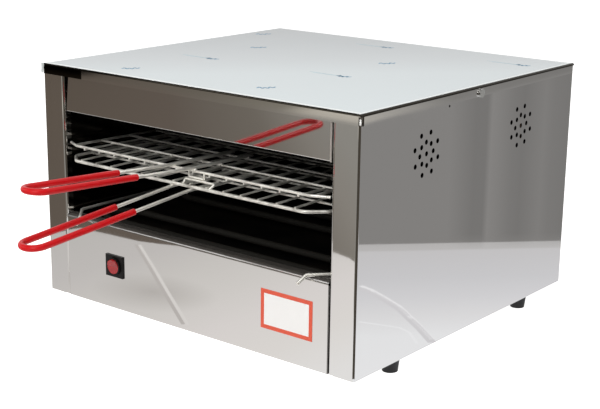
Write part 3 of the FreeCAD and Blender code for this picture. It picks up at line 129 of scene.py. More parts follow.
# %% Patterns
class Patterned(Tree):
    """A tree that can measure places and count with them."""

    def axis(self, name):
        """One coordinate of the place, by its letter."""
        split = self.node("ShaderNodeSeparateXYZ")
        self.link(self.place, split.inputs["Vector"])
        return split.outputs[name]

    def behind_front(self):
        """The distance behind the front of the casing."""
        return self.compute("SUBTRACT", self.axis("Y"), FRONT)

    def stretch(self, scale):
        """The object's coordinates, scaled per axis."""
        mapping = self.node("ShaderNodeMapping")
        mapping.inputs["Scale"].default_value = scale
        self.link(self.place, mapping.inputs["Vector"])
        return mapping.outputs["Vector"]

    def noise(self, scale, detail, vector=None, distortion=0.0):
        texture = self.node("ShaderNodeTexNoise")
        texture.inputs["Scale"].default_value = scale
        texture.inputs["Detail"].default_value = detail
        texture.inputs["Distortion"].default_value = distortion
        self.link(vector or self.place, texture.inputs["Vector"])
        return texture.outputs["Fac"]

    def remap(self, value, span, onto):
        """A value's span (low, high) becomes another, held at both ends."""
        node = self.node("ShaderNodeMapRange")
        for socket, number in zip(("From Min", "From Max", "To Min", "To Max"), (*span, *onto)):
            node.inputs[socket].default_value = number
        self.link(value, node.inputs["Value"])
        return node.outputs["Result"]

    def compute(self, operation, *values):
        """A Math node; each value is a number or an output."""
        node = self.node("ShaderNodeMath", operation=operation)
        for socket, value in zip(node.inputs, values):
            if isinstance(value, (int, float)):
                socket.default_value = value
            else:
                self.link(value, socket)
        return node.outputs["Value"]

    def near_edge(self, value, low, high, width):
        """1 within a width of either end of low..high, and 0 between."""
        middle, half = (low + high) / 2, (high - low) / 2
        away = self.compute("ABSOLUTE", self.compute("SUBTRACT", value, middle))
        return self.compute("GREATER_THAN", away, half - width)


print("patterns add", ", ".join(word for word in vars(Patterned) if word[0] != "_"))

# %% [markdown]
# ### Colours and relief
#
# A pattern becomes visible when it mixes two colours, picks one from a ramp or tilts the light as
# a bump. The last class holds those three, and puts the finished material on the frame's nodes in
# place of their plain one.

# %% Colours and relief
class Finish(Patterned):
    """A finish that a piece can wear."""

    def mix(self, factor, first, second):
        """Two colours mixed; each is a colour or an output."""
        node = self.node("ShaderNodeMix", data_type="RGBA")
        self.link(factor, node.inputs["Factor"])
        colour_sockets = (node.inputs[6], node.inputs[7])
        for socket, value in zip(colour_sockets, (first, second)):
            if isinstance(value, tuple):
                socket.default_value = (*value, 1.0)
            else:
                self.link(value, socket)
        colour_result = node.outputs[2]
        return colour_result

    def ramp(self, value, stops):
        """A colour that runs through stops of (value, colour) in rising order."""
        first, last = stops[0][0], stops[-1][0]
        node = self.node("ShaderNodeValToRGB")
        points = node.color_ramp.elements
        while len(points) < len(stops):
            points.new(1.0)
        for point, (at, colour) in zip(points, stops):
            point.position = (at - first) / (last - first)
            point.color = (*colour, 1.0)
        self.link(self.remap(value, (first, last), (0, 1)), node.inputs["Fac"])
        return node.outputs["Color"]

    def drive(self, socket, output):
        """Links an output to a socket of the shader."""
        self.link(output, self.shader.inputs[socket])

    def bump(self, height, distance, strength=1.0):
        """Adds relief; distance is in metres."""
        node = self.node("ShaderNodeBump")
        node.inputs["Strength"].default_value = strength
        node.inputs["Distance"].default_value = distance
        self.link(height, node.inputs["Height"])
        self.drive("Normal", node.outputs["Normal"])

    def wear(self, *names):
        """Puts this finish on nodes of the frame."""
        for name in names:
            slots = nodes[name].data.materials
            slots.clear()
            slots.append(self.material)
        print(f"{self.material.name}: {', '.join(names)}")


def dimmed(colour, stops):
    """Stops of (value, share) as stops of (value, that share of the colour)."""
    return [(value, tuple(share * part for part in colour)) for value, share in stops]


print("a finish adds", ", ".join(word for word in vars(Finish) if word[0] != "_"))

# %% [markdown]
# ## Polished sheet
#
# The casing is thin stainless sheet with a bright rolled finish. Seen close it has a faint grain
# and soft handling marks, and because thin sheet is never quite flat, reflections in it wander a
# little. Waves could be modelled in the mesh, but its folds would lose their straight edges. Here
# grain and marks change only the roughness, and a very low, very wide bump bends the reflections.

# %% Stainless sheet
STAINLESS = (0.62, 0.605, 0.59)
BRIGHT_ROUGHNESS = 0.03
ALONG_X, ALONG_Y, ALONG_Z = (0.02, 1, 1), (1, 0.02, 1), (1, 1, 0.02)


def sheet_steel(name, colour, roughness, grain, wave=0.3 * MM, marks=0.03):
    """Bright sheet; grain is the stretch per axis, small along the rolling direction."""
    steel = Finish(name, colour, roughness, metallic=1.0)
    lines = steel.noise(scale=900, detail=2, vector=steel.stretch(grain))
    smudges = steel.noise(scale=9, detail=4, distortion=0.6)
    fine = steel.remap(lines, (0.3, 0.7), (-0.008, 0.012))
    broad = steel.remap(smudges, (0.45, 0.8), (0.0, marks))
    total = steel.compute("ADD", steel.compute("ADD", fine, broad), roughness)
    steel.drive("Roughness", total)
    waves = steel.noise(scale=3.2, detail=1, vector=steel.stretch((1.0, 1.0, 0.7)))
    steel.bump(waves, distance=wave)
    return steel


casing_steel = sheet_steel("casing_steel", STAINLESS, BRIGHT_ROUGHNESS, ALONG_Z)
casing_steel.wear("left_side_panel", "rear_panel", "base_pan")

# %% [markdown]
# ## The control panel's lip
#
# The rolled upper edge of the control panel is painted dark, a painted reflection of the dim room
# above the bend. The bend's faces could get a material of their own, but the dark would then stop
# at a face's edge. A ramp over the height fades it in and takes the metal's shine away with it.

# %% Lip with a painted dark reflection
LIP_STARTS, LIP_FULL = 4.2 * MM, 1.8 * MM
LIP_PAINTED_DARK = (0.055, 0.050, 0.045)

panel_steel = sheet_steel("panel_steel", STAINLESS, BRIGHT_ROUGHNESS, ALONG_X)
panel_steel.set("Specular IOR Level", 0.12)
lip_span = (panel_high.z - LIP_STARTS, panel_high.z - LIP_FULL)
lip = panel_steel.remap(panel_steel.axis("Z"), lip_span, (0, 1))
# The lip's dark colour is a painted reflection of the dim room above the bend.
panel_steel.drive("Base Color", panel_steel.mix(lip, STAINLESS, LIP_PAINTED_DARK))
panel_steel.drive("Metallic", panel_steel.remap(lip, (0, 1), (1, 0)))
panel_steel.wear("control_panel")

# %% [markdown]
# ## The bowed right side
#
# The right side bows in and out a little behind its cover screw, which shows as soft upright bands
# in its reflection. Real dents would need a fine mesh and would move the reflections below as well.
# A colour that changes with the depth paints the bands, a painted reflection, and a slanting mask
# keeps them in the upper part.

# %% Painted reflection bands on the side
SIDE_BANDS = ((0.0, 1.0), (0.18, 1.0), (0.235, 0.80), (0.26, 0.80), (0.272, 1.04), (0.29, 0.98),
              (0.325, 0.84), (0.35, 0.79), (0.385, 0.88), (0.405, 0.93), (0.43, 0.85), (0.474, 0.80))
BANDS_END, BANDS_FULL, BANDS_SLANT = 0.165, 0.185, 0.21

side_steel = sheet_steel("side_steel", STAINLESS, BRIGHT_ROUGHNESS, ALONG_Z)
behind = side_steel.behind_front()
# The bands are a painted reflection, carried in the sheet's colour.
painted_bands = side_steel.ramp(behind, dimmed(STAINLESS, SIDE_BANDS))
rise = side_steel.compute("ADD", side_steel.axis("Z"), side_steel.compute("MULTIPLY", behind, BANDS_SLANT))
upper_part = side_steel.remap(rise, (BANDS_END, BANDS_FULL), (0, 1))
side_steel.drive("Base Color", side_steel.mix(upper_part, STAINLESS, painted_bands))
side_steel.wear("right_side_panel")

# %% [markdown]
# ## The upper fascia
#
# The fascia above the opening is the same sheet, a shade darker and duller. One more call of the
# same recipe is enough.

# %% Fascia sheet
fascia_steel = sheet_steel("fascia_steel", (0.56, 0.545, 0.53), 0.04, ALONG_X, wave=0.2 * MM)
fascia_steel.wear("upper_fascia")

# %% [markdown]
# ## The lid's dark edges
#
# The lid's upper bend and the left end of its front flange are painted dark, a painted reflection
# of the dim room, and the corner of its right flange is painted dark as painted shade. Thin dark
# strips could be modelled over the bend; three masks in the lid's finish paint the dark instead.

# %% Lid sheet with painted dark edges
EDGE_PAINTED_DARK = (0.03, 0.026, 0.02)
DARK_BAND_IN_FRONT, DARK_BAND_ON_RIGHT = 2.3 * MM, 3.2 * MM
NOTCH_REACH = 5 * MM
WEDGE_ENDS = -0.178
ROUND_THE_LID = (0.02, 0.02, 1)

lid_steel = sheet_steel("lid_steel", STAINLESS, 0.045, ROUND_THE_LID, marks=0.02)
x, y, z = (lid_steel.axis(name) for name in "XYZ")
on_right = lid_steel.compute("GREATER_THAN", x, SIDE + 0.4 * MM)
depth = lid_steel.remap(on_right, (0, 1), (DARK_BAND_IN_FRONT, DARK_BAND_ON_RIGHT))
bend = lid_steel.compute("GREATER_THAN", z, lid_steel.compute("SUBTRACT", LID_TOP, depth))
notch = lid_steel.compute("MULTIPLY", on_right, lid_steel.compute("LESS_THAN", y, FRONT + NOTCH_REACH))
wedge = lid_steel.compute("MULTIPLY", lid_steel.compute("LESS_THAN", x, WEDGE_ENDS),
                          lid_steel.compute("LESS_THAN", y, FRONT))
# Painted dark: a painted reflection on the bend and the wedge, painted shade in the notch.
dark = lid_steel.compute("MAXIMUM", wedge, lid_steel.compute("MAXIMUM", bend, notch))
lid_steel.drive("Base Color", lid_steel.mix(dark, STAINLESS, EDGE_PAINTED_DARK))
lid_steel.wear("top_cover")

# %% [markdown]
# ## Inside the chamber
#
# Heat and grease turn the inner sheets dark and dull, and their near-black colour is also painted
# shade for the dark inside of the chamber. Rust and drips could be painted in detail, but little light
# gets in, so a near-black brown with a broad stain is enough. The side walls and rails keep some
# polish and mirror the wires; their dark colour is painted shade too. The heating tubes have a dry,
# rough sheath, its near-black colour also painted shade.

# %% Heat-darkened steel with painted shade
# These near-black colours are partly heat darkening and partly painted shade.
chamber_steel = Finish("chamber_steel", (0.01, 0.009, 0.008), roughness=0.6)
chamber_steel.set("Specular IOR Level", 0.06)
stain = chamber_steel.remap(chamber_steel.noise(scale=14, detail=4), (0.35, 0.7), (0, 1))
chamber_steel.drive("Base Color",
                    chamber_steel.mix(stain, (0.002, 0.002, 0.002), (0.010, 0.008, 0.006)))
chamber_steel.wear("chamber_back_wall", "chamber_ceiling", "reflector_tray", "element_brackets")

# The walls' dark colour is painted shade.
wall_steel = sheet_steel("wall_steel", (0.10, 0.09, 0.08), 0.12, ALONG_Y)
wall_steel.wear("left_chamber_wall", "right_chamber_wall", "left_grid_rail", "right_grid_rail")

# The sheath's near-black colour is painted shade.
element_sheath = Finish("element_sheath", (0.012, 0.011, 0.009), roughness=0.7)
element_sheath.set("Specular IOR Level", 0.1)
element_sheath.bump(element_sheath.noise(scale=700, detail=3), distance=0.2 * MM, strength=0.5)
element_sheath.wear("lower_heating_elements", "upper_heating_elements")

# %% [markdown]
# ## Protective film on the lid
#
# A new lid keeps its film: a milky, slightly blue plastic skin, glossy, with a few soft wrinkles.
# It could be made see-through over the steel, but a film this milky hides the sheet, so an opaque
# finish gives the same look with less noise. Its colour darkens toward the far left corner, which
# is painted shade of the light falling off, and a paler hem runs round it where it has let go of the
# lid.

# %% Milky film
FILM_NEAR, FILM_FAR = (0.60, 0.655, 0.665), (0.385, 0.40, 0.405)
FILM_STOPS = [(-0.15, FILM_NEAR), (0.12, (0.59, 0.64, 0.65)), (0.28, (0.52, 0.55, 0.56)),
              (0.48, (0.45, 0.475, 0.485)), (0.75, FILM_FAR)]
HEM_AT_SIDES, HEM_AT_ENDS = 4 * MM, 6 * MM

film = Finish("cover_film", FILM_NEAR, roughness=0.28)
film.set("Specular IOR Level", 0.3)
film_low, film_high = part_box("protective_film")
x, y = film.axis("X"), film.axis("Y")
slant = film.compute("SUBTRACT", y, x)
# The milky colour darkens toward the far left corner as painted shade.
milk_and_painted_falloff = film.ramp(slant, [(FRONT + value, colour) for value, colour in FILM_STOPS])
hem = film.compute("MAXIMUM", film.near_edge(x, film_low.x, film_high.x, HEM_AT_SIDES),
                   film.near_edge(y, film_low.y, film_high.y, HEM_AT_ENDS))
film.drive("Base Color", film.mix(hem, milk_and_painted_falloff, (0.80, 0.83, 0.82)))
wrinkles = film.noise(scale=7, detail=2, vector=film.stretch((1, 0.4, 1)))
film.bump(wrinkles, distance=4 * MM, strength=0.25)
film.wear("protective_film")

# %% [markdown]
# ## Wire
#
# The grids are bright plated wire. Outside they stay bright, while in the chamber they are painted
# darker as painted shade, more toward the back, and in patches that leave broken glints. Two
# materials with a border between them would show a ring on each wire, so one recipe fades with the
# distance behind the front. The handles' wires start brighter than the grids' and fade sooner.

# %% Plated wire
WIRE_BRIGHT, WIRE_SHADED = (0.90, 0.88, 0.81), (0.12, 0.11, 0.09)


def plated_wire(name, stops, darkest):
    """Stops are (distance behind the front, share of the bright colour left under painted shade)."""
    wire = Finish(name, WIRE_BRIGHT, roughness=0.4, metallic=0.7)
    dulled = wire.remap(wire.noise(scale=120, detail=3), (0.3, 0.7), (0.32, 0.48))
    wire.drive("Roughness", dulled)
    # Painted shade: the wire darkens with depth into the chamber, and in patches that leave broken glints.
    shaded_by_depth = wire.ramp(wire.behind_front(), dimmed(WIRE_BRIGHT, stops))
    glint_patches = wire.remap(wire.noise(scale=45, detail=4), (0.36, 0.60), (darkest, 1.0))
    wire.drive("Base Color", wire.mix(glint_patches, WIRE_SHADED, shaded_by_depth))
    return wire


grid_wire = plated_wire("grid_wire",
                        [(-0.01, 0.95), (0.03, 0.70), (0.09, 0.30), (0.24, 0.16), (0.43, 0.12)], 0.45)
grid_wire.wear("lower_grid", "upper_grid", "hinge_eyes")
handle_wire = plated_wire("handle_wire",
                          [(-0.01, 1.0), (0.03, 0.92), (0.07, 0.40), (0.12, 0.17), (0.20, 0.10)], 0.8)
handle_wire.wear("lower_handle", "upper_handle", "grid_bridge", "grid_stop", "lower_runners")

# %% [markdown]
# ## Red sleeves
#
# The handles are dipped in soft red vinyl: smooth, glossy, with a slight ripple from the dipping.
# The ripple could be sculpted, but it is finer than the sleeve's faces, so a bump carries it.

# %% Dipped vinyl
red_sleeve = Finish("red_sleeve", (0.55, 0.004, 0.007), roughness=0.3)
red_sleeve.set("Specular IOR Level", 0.22)
red_sleeve.bump(red_sleeve.noise(scale=160, detail=2), distance=0.6 * MM, strength=0.25)
red_sleeve.wear("lower_handle_sleeve", "upper_handle_sleeve")

# %% [markdown]
# ## Switch, gland and feet
#
# The switch has a black moulded bezel with a fine spark texture and a red lens that lets a little
# light in. A clear lens over a modelled lamp would be truer, but no lamp is lit, so some light
# under the skin and a little transmission do. The feet are matt black rubber.

# %% Plastics and rubber
black_plastic = Finish("black_plastic", (0.005, 0.004, 0.004), roughness=0.4)
black_plastic.set("Specular IOR Level", 0.2)
black_plastic.bump(black_plastic.noise(scale=1800, detail=2), distance=0.04 * MM, strength=0.6)
black_plastic.wear("switch_body", "cable_gland", "gland_nut")

red_lens = Finish("red_lens", (0.40, 0.018, 0.022), roughness=0.12)
red_lens.set("Subsurface Weight", 0.3)
red_lens.set("Subsurface Radius", (0.004, 0.0008, 0.0005))
red_lens.set("Transmission Weight", 0.15)
red_lens.wear("switch_rocker")

black_rubber = Finish("black_rubber", (0.007, 0.007, 0.008), roughness=0.6)
black_rubber.bump(black_rubber.noise(scale=900, detail=3), distance=0.1 * MM, strength=0.6)
black_rubber.wear("rubber_feet", "wall_grommet")

# %% [markdown]
# ## Fasteners and wiring
#
# Screws and nuts are zinc plated, the terminals' links are brass, and the heating tubes end in
# ceramic beads. These pieces are small or inside, so plain colours are enough.

# %% Small metal, ceramic and insulation
bright_zinc = Finish("bright_zinc", (0.66, 0.66, 0.64), roughness=0.25, metallic=1.0)
bright_zinc.wear("cover_screws", "rear_screws", "foot_screws", "foot_nuts", "earth_stud",
                 "earth_nuts", "terminal_screws", "element_collars", "element_pins")

brass = Finish("brass_strip", (0.70, 0.50, 0.20), roughness=0.3, metallic=1.0)
brass.wear("terminal_links", "switch_tabs")

ceramic = Finish("ceramic_white", (0.80, 0.77, 0.70), roughness=0.3)
ceramic.wear("element_ceramics")

cream_plastic = Finish("cream_plastic", (0.72, 0.66, 0.50), roughness=0.4)
cream_plastic.wear("terminal_block")

insulation = Finish("wire_insulation", (0.26, 0.15, 0.09), roughness=0.6)
insulation.wear("mains_wires", "element_wires")

# %% [markdown]
# ## The label
#
# A printed plate is stuck to the control panel: a pale field with a red border. A picture could
# be wrapped over it, but a border is only a distance from the edge, so it is measured.

# %% Plain border
BORDER = 5 * MM

label = Finish("label_print", (0.86, 0.84, 0.80), roughness=0.35)
label_low, label_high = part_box("label_plate")
border = label.compute("MAXIMUM",
                       label.near_edge(label.axis("X"), label_low.x, label_high.x, BORDER),
                       label.near_edge(label.axis("Z"), label_low.z, label_high.z, BORDER))
label.drive("Base Color", label.mix(border, (0.80, 0.79, 0.77), (0.66, 0.075, 0.03)))
label.wear("label_plate")

# %% [markdown]
# ## Small pieces modelled here
#
# A few details are too small or too soft for the frame: weld beads, the film's scribbles and its
# loose corner, the panel's folded end, the weld on the lid's corner and the rolled edge of the
# upper fascia. Each could be a primitive pushed into place by hand. A helper fills a mesh from a
# function instead, dresses it, and lets it ride on the body that carries it.

# %% A way to add a small piece
def piece_from(name, build, finish, body):
    """Makes an object from a function that fills a bmesh, and lets it ride on a body."""
    mesh = bpy.data.meshes.new(name)
    work = bmesh.new()
    build(work)
    work.to_mesh(mesh)
    work.free()
    shade(mesh)
    mesh.materials.append(finish.material)
    piece = bpy.data.objects.new(name, mesh)
    bpy.context.scene.collection.objects.link(piece)
    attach(piece, body)
    print(f"{name}: {len(mesh.polygons)} faces, rides on {body}")


def bead(work, place, radius, flat=0.7):
    """A drop of weld: a small ball pressed flat in height."""
    squashed = Matrix.Translation(place) @ Matrix.Diagonal((1, 1, flat, 1))
    bmesh.ops.create_icosphere(work, subdivisions=2, radius=radius, matrix=squashed)


def bar(work, middle, size):
    """A square-edged bar about a middle; its size is (x, y, z)."""
    bmesh.ops.create_cube(work, size=1.0, matrix=Matrix.Translation(middle) @ Matrix.Diagonal((*size, 1)))


# %% [markdown]
# ## Weld beads on the lower grid
#
# Wherever two wires of a grid cross they are spot welded, and a little metal swells out at the
# joint. The beads could be fused with the wires, but as separate low drops they stay light. They
# sit where the grid's own pitch puts the crossings.

# %% Lower welds
WIRE_COUNT, WIRE_PITCH = 14, 26.4 * MM
WIRE_XS = [(i - (WIRE_COUNT - 1) / 2) * WIRE_PITCH for i in range(WIRE_COUNT)]
HANDLE_XS = (-16.4 * MM, 16.4 * MM)
HINGE = Vector((0, FRONT + 430 * MM, 201.5 * MM))
LOWER_FRONT = FRONT - 9 * MM
LOWER_CROSS = [LOWER_FRONT] + [LOWER_FRONT + (45 + 47 * i) * MM for i in range(9)]
WELD, HANDLE_WELD = 1.7 * MM, 2.5 * MM


def lower_welds(work):
    for y in LOWER_CROSS:
        for x in WIRE_XS:
            bead(work, Vector((x, y, HINGE.z + 1.6 * MM)), WELD)
    for y in LOWER_CROSS[:3]:
        for x in HANDLE_XS:
            bead(work, Vector((x, y, HINGE.z - 2.0 * MM)), HANDLE_WELD)


piece_from("lower_welds", lower_welds, grid_wire, "lower_rack")

# %% [markdown]
# ## Weld beads on the upper grid
#
# The upper grid rests with its front raised, so its crossings lie on a slope. Their places could
# be worked out one by one. It is simpler to lay them out level about the hinge line and tilt all
# of them at once.

# %% Upper welds
UPPER_REACH = 434 * MM
RISE_AT_HINGE, RISE_IN_FRONT = 8.6 * MM, 18.0 * MM
UPPER_CROSS = [0.0] + [(46 + 49.5 * i) * MM for i in range(8)]
TILT = math.asin((RISE_IN_FRONT - RISE_AT_HINGE) / UPPER_REACH)
upper_rest = Matrix.Translation(HINGE) @ Matrix.Rotation(-TILT, 4, "X")


def upper_welds(work):
    for back in UPPER_CROSS:
        for x in WIRE_XS:
            level = Vector((x, back - UPPER_REACH, RISE_AT_HINGE - 1.5 * MM))
            bead(work, upper_rest @ level, WELD)
    for back in UPPER_CROSS[:3]:
        for x in HANDLE_XS:
            level = Vector((x, back - UPPER_REACH, RISE_AT_HINGE + 1.9 * MM))
            bead(work, upper_rest @ level, HANDLE_WELD - 0.1 * MM)


piece_from("upper_welds", upper_welds, grid_wire, "upper_rack")

# %% [markdown]
# ## Scribbles on the film
#
# Film of this kind is printed with small faint marks, here scribbles that spell nothing. A
# picture mapped onto the lid would blur when seen close. Very thin bars laid on the film stay
# sharp from every side, and a zigzag of them looks like quick handwriting.

# %% One stroke and one scribble
MARK_DEPTH = 0.05 * MM
PEN = 2.4 * MM
ZIGZAGS = 7


def stroke(work, start, end, width):
    """A very thin bar between two places on the lid, each (x, distance behind the front)."""
    start, end = Vector(start), Vector(end)
    turn = math.atan2(end.y - start.y, end.x - start.x)
    middle = (start + end) / 2
    place = Vector((middle.x, FRONT + middle.y, film_high.z + MARK_DEPTH / 2))
    bmesh.ops.create_cube(work, size=1.0, matrix=Matrix.Translation(place)
                          @ Matrix.Rotation(turn, 4, "Z")
                          @ Matrix.Diagonal(((end - start).length, width, MARK_DEPTH, 1)))


def scribble(work, start, length, turn, height):
    """A zigzag along a heading, with every third peak low."""
    heading = Vector((math.cos(turn), math.sin(turn)))
    beside = Vector((-heading.y, heading.x))
    places = []
    for i in range(ZIGZAGS + 1):
        swing = (0.5 if i % 2 else -0.5) * (1.0 if i % 3 else 0.4)
        places.append(Vector(start) + heading * (length * i / ZIGZAGS) + beside * height * swing)
    for first, second in zip(places, places[1:]):
        stroke(work, first, second, PEN)


print(f"a scribble has {ZIGZAGS} strokes, {PEN / MM:.1f} mm wide")

# %% [markdown]
# The marks come in two kinds, scattered over the lid: a pair of long pale lines that end in a
# scribble, and a short slanting scribble alone. They could be strewn by a random draw. Lists of
# given places keep the spacing of print.

# %% Marks over the lid
LONG_MARKS = [(-0.140, 0.173), (0.070, 0.180), (-0.032, 0.417), (0.188, 0.410)]
SHORT_MARKS = [(-0.137, 0.045), (-0.138, 0.292), (0.075, 0.055), (0.074, 0.300), (-0.221, 0.401)]
mark_pale = Finish("film_mark_pale", (0.36, 0.50, 0.56), roughness=0.4)
mark_dark = Finish("film_mark_dark", (0.05, 0.24, 0.40), roughness=0.4)


def long_lines(work):
    for x, behind in LONG_MARKS:
        stroke(work, (x - 0.030, behind), (x + 0.018, behind), 1.5 * MM)
        stroke(work, (x - 0.022, behind - 0.003), (x + 0.022, behind - 0.003), 1.0 * MM)


def marks(work):
    for x, behind in LONG_MARKS:
        scribble(work, (x + 0.014, behind - 0.001), 0.018, 0.0, 0.009)
    for x, behind in SHORT_MARKS:
        scribble(work, (x - 0.008, behind - 0.008), 0.022, math.radians(45), 0.010)


piece_from("film_lines", long_lines, mark_pale, "housing")
piece_from("film_marks", marks, mark_dark, "housing")

# %% [markdown]
# ## The film's loose corner
#
# At the lid's left front corner the film hangs down over the edge. A cloth simulation could drape
# it, but this bit is a few millimetres wide. Four rows of three points, each row a little lower
# and swayed to the side, make the same small curl, and a thin solid closes it.

# %% Folded corner
CORNER_DROP = 12.5 * MM
CORNER_ROWS = (0.0, 0.15, 0.5, 1.0)
SWAY = 0.6 * MM


def film_corner(work):
    left, front = -SIDE - 2.6 * MM, FRONT - 1.5 * MM
    rows = []
    for share in CORNER_ROWS:
        height = LID_TOP - CORNER_DROP * share
        sway = SWAY * math.sin(6 * share)
        rows.append([work.verts.new((left + 1.2 * MM * share, front + 2.0 * MM, height)),
                     work.verts.new((left + 1.0 * MM + sway, front - 0.4 * MM, height)),
                     work.verts.new((left + 6.0 * MM - 1.5 * MM * share, front, height))])
    for above, below in zip(rows, rows[1:]):
        for i in range(2):
            work.faces.new((above[i], above[i + 1], below[i + 1], below[i]))
    bmesh.ops.solidify(work, geom=work.faces[:], thickness=0.15 * MM)


piece_from("film_corner", film_corner, film, "housing")

# %% [markdown]
# ## The panel's folded end
#
# The control panel's right end is folded back, and a grey sliver of it shows in the gap beside
# the right post. The gap's depth is hidden, so a slim dull bar in it is enough.

# %% Folded end in the gap
LIP_CLEAR = 6 * MM
gap_steel = Finish("gap_steel", (0.20, 0.19, 0.18), roughness=0.5, metallic=0.4)


def folded_end(work):
    height = panel_high.z - panel_low.z - LIP_CLEAR
    middle = Vector((panel_high.x + 0.4 * MM, FRONT + 1.0 * MM, panel_low.z + height / 2))
    bar(work, middle, (0.7 * MM, 0.8 * MM, height))


piece_from("folded_end", folded_end, gap_steel, "housing")

# %% [markdown]
# ## The weld on the lid's corner
#
# The lid's flanges meet in an open corner, tacked with a few drops of weld whose near-white colour
# is a painted highlight against the lid's painted dark edge. Three overlapping drops, one above the
# other, read as one short seam.

# %% Corner weld with a painted highlight
# The weld's near-white colour is a painted highlight.
corner_glint = Finish("corner_weld", (0.92, 0.91, 0.88), roughness=0.35, metallic=0.2)


def corner_weld(work):
    for drop, radius in ((6.5, 1.0), (8.5, 1.2), (10.5, 1.0)):
        place = Vector((SIDE + 0.6 * MM, FRONT - 0.9 * MM, LID_TOP - drop * MM))
        bead(work, place, radius * MM, flat=1.4)


piece_from("corner_weld", corner_weld, corner_glint, "housing")

# %% [markdown]
# ## The fascia's rolled edge
#
# The fascia's right edge is rolled back on itself and catches a bright line of light, given by a
# pale finish lighter than the fascia's sheet, a painted highlight. A bevel on the solid would do,
# but the roll is a round bar in its own right, so it is a slim cylinder.

# %% Rolled edge
ROLL_RADIUS = 1.2 * MM
FLANGE = 12 * MM
fascia_low, fascia_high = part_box("upper_fascia")
# The roll's pale colour is a painted highlight.
roll_highlight = Finish("roll_highlight", (0.80, 0.76, 0.72), roughness=0.3, metallic=0.8)


def rolled_edge(work):
    height = fascia_high.z - fascia_low.z - FLANGE
    middle = Vector((fascia_high.x - 1.0 * MM, fascia_low.y + 0.4 * MM, fascia_low.z + height / 2))
    bmesh.ops.create_cone(work, cap_ends=True, segments=16, radius1=ROLL_RADIUS, radius2=ROLL_RADIUS,
                          depth=height, matrix=Matrix.Translation(middle))


piece_from("fascia_edge", rolled_edge, roll_highlight, "housing")

# %% [markdown]
# ## The studio
#
# Polished sheet has no colour of its own: it shows whatever stands opposite. A ready-made picture
# of a studio could surround it, but every line in the steel would then be left to chance. Here
# flat cards lie just above the floor, bright near the toaster and dark farther out, and the line
# where they meet is the line seen across the casing. The cards glow with a fixed light, are seen
# by reflections alone and light nothing.
#
# The first helpers turn colours into light. `linear` undoes a screen's curve, and `in_steel` gives
# the light that has to fall on the sheet for a colour to be seen in it.

# %% From a colour seen to the light it takes
def linear(red, green, blue):
    """A colour read off a screen, 0 to 255 each, as the light it stands for."""
    shares = (red / 255, green / 255, blue / 255)
    return tuple(share / 12.92 if share < 0.0405 else ((share + 0.055) / 1.055) ** 2.4
                 for share in shares)


def in_steel(red, green, blue):
    """The light whose reflection in the casing's sheet has this colour."""
    return tuple(seen / kept for seen, kept in zip(linear(red, green, blue), STAINLESS))


def glow(name, colour):
    """A finish that gives off a fixed light and takes none."""
    finish = Finish(name, (0, 0, 0), roughness=1.0)
    finish.set("Specular IOR Level", 0.0)
    finish.set("Emission Color", (*colour, 1.0))
    finish.set("Emission Strength", 1.0)
    return finish


def seen_ramp(finish, value, stops):
    """A ramp whose stops are (value, colour seen in the sheet)."""
    return finish.ramp(value, [(at, in_steel(*colour)) for at, colour in stops])


print("mid grey in the sheet takes the light", [round(part, 3) for part in in_steel(128, 128, 128)])

# %% [markdown]
# ### Cards
#
# A card could be a lamp, but a lamp always lights what is near it. A plain polygon that glows can
# be hidden from the camera, from matt surfaces and from shadows, and stays visible to reflections.
# Cards belong to the studio and not to the toaster.

# %% A card
def card(name, corners, finish, faces=None):
    """A flat polygon that only reflections see; its corners are (x, y, z)."""
    mesh = bpy.data.meshes.new(name)
    mesh.from_pydata(corners, [], faces or [list(range(len(corners)))])
    mesh.materials.append(finish.material)
    piece = bpy.data.objects.new(name, mesh)
    bpy.context.scene.collection.objects.link(piece)
    for kind in ("camera", "diffuse", "shadow", "transmission"):
        setattr(piece, f"visible_{kind}", False)
    print(f"{name}: a card with {len(corners)} corners")


def floor_card(name, corners, height, finish):
    """A card lying over the floor; its corners are (x, distance behind the front)."""
    card(name, [(x, FRONT + behind, height) for x, behind in corners], finish)


print("cards are seen by reflections alone")

# %% [markdown]
# ## The floor
#
# The toaster stands on a pale, matt floor that keeps its shadow and fades into white. Stronger
# lamps would bleach the floor and the toaster alike. The floor glows a little for the camera
# alone instead, and a card just above it stands in for it in reflections.

# %% Floor for the camera, and its stand-in for reflections
FAR = 8.0
ALL_ROUND = [(-FAR, -FAR), (FAR, -FAR), (FAR, FAR), (-FAR, FAR)]
STAND_IN_HEIGHT = 1 * MM
mesh = bpy.data.meshes.new("floor")
mesh.from_pydata([(x, y, 0) for x, y in ALL_ROUND], [], [(0, 1, 2, 3)])
floor = bpy.data.objects.new("floor", mesh)
bpy.context.scene.collection.objects.link(floor)

table = Finish("table", (0.82, 0.81, 0.80), roughness=1.0)
table.set("Specular IOR Level", 0.0)
table.set("Emission Color", (1.0, 1.0, 1.0, 1.0))
path = table.node("ShaderNodeLightPath")
table.drive("Emission Strength", table.compute("MULTIPLY", path.outputs["Is Camera Ray"], 0.85))
mesh.materials.append(table.material)
floor_card("table_seen", ALL_ROUND, STAND_IN_HEIGHT, glow("table_seen", in_steel(200, 197, 194)))

# %% [markdown]
# ## Bright ground beside and before the toaster
#
# The lower part of each wall mirrors the ground next to it, which is brightest close by. Lamps
# near the floor could make that falling light, but would wash over the toaster too. A card with
# a ramp carries it instead. On the right the ramp runs away from the right front corner, and it
# ends near the line where the dark ground starts.

# %% Ground on the right
LINE = 1.046
GROUND_HEIGHT = 2 * MM
RIGHT_STOPS = [(0.25, (226, 226, 227)), (0.50, (223, 223, 224)), (0.60, (214, 213, 214)),
               (0.70, (205, 204, 206)), (0.82, (197, 196, 198)), (1.0, (192, 190, 191)),
               (1.01, (181, 179, 178)), (LINE, (178, 176, 175))]

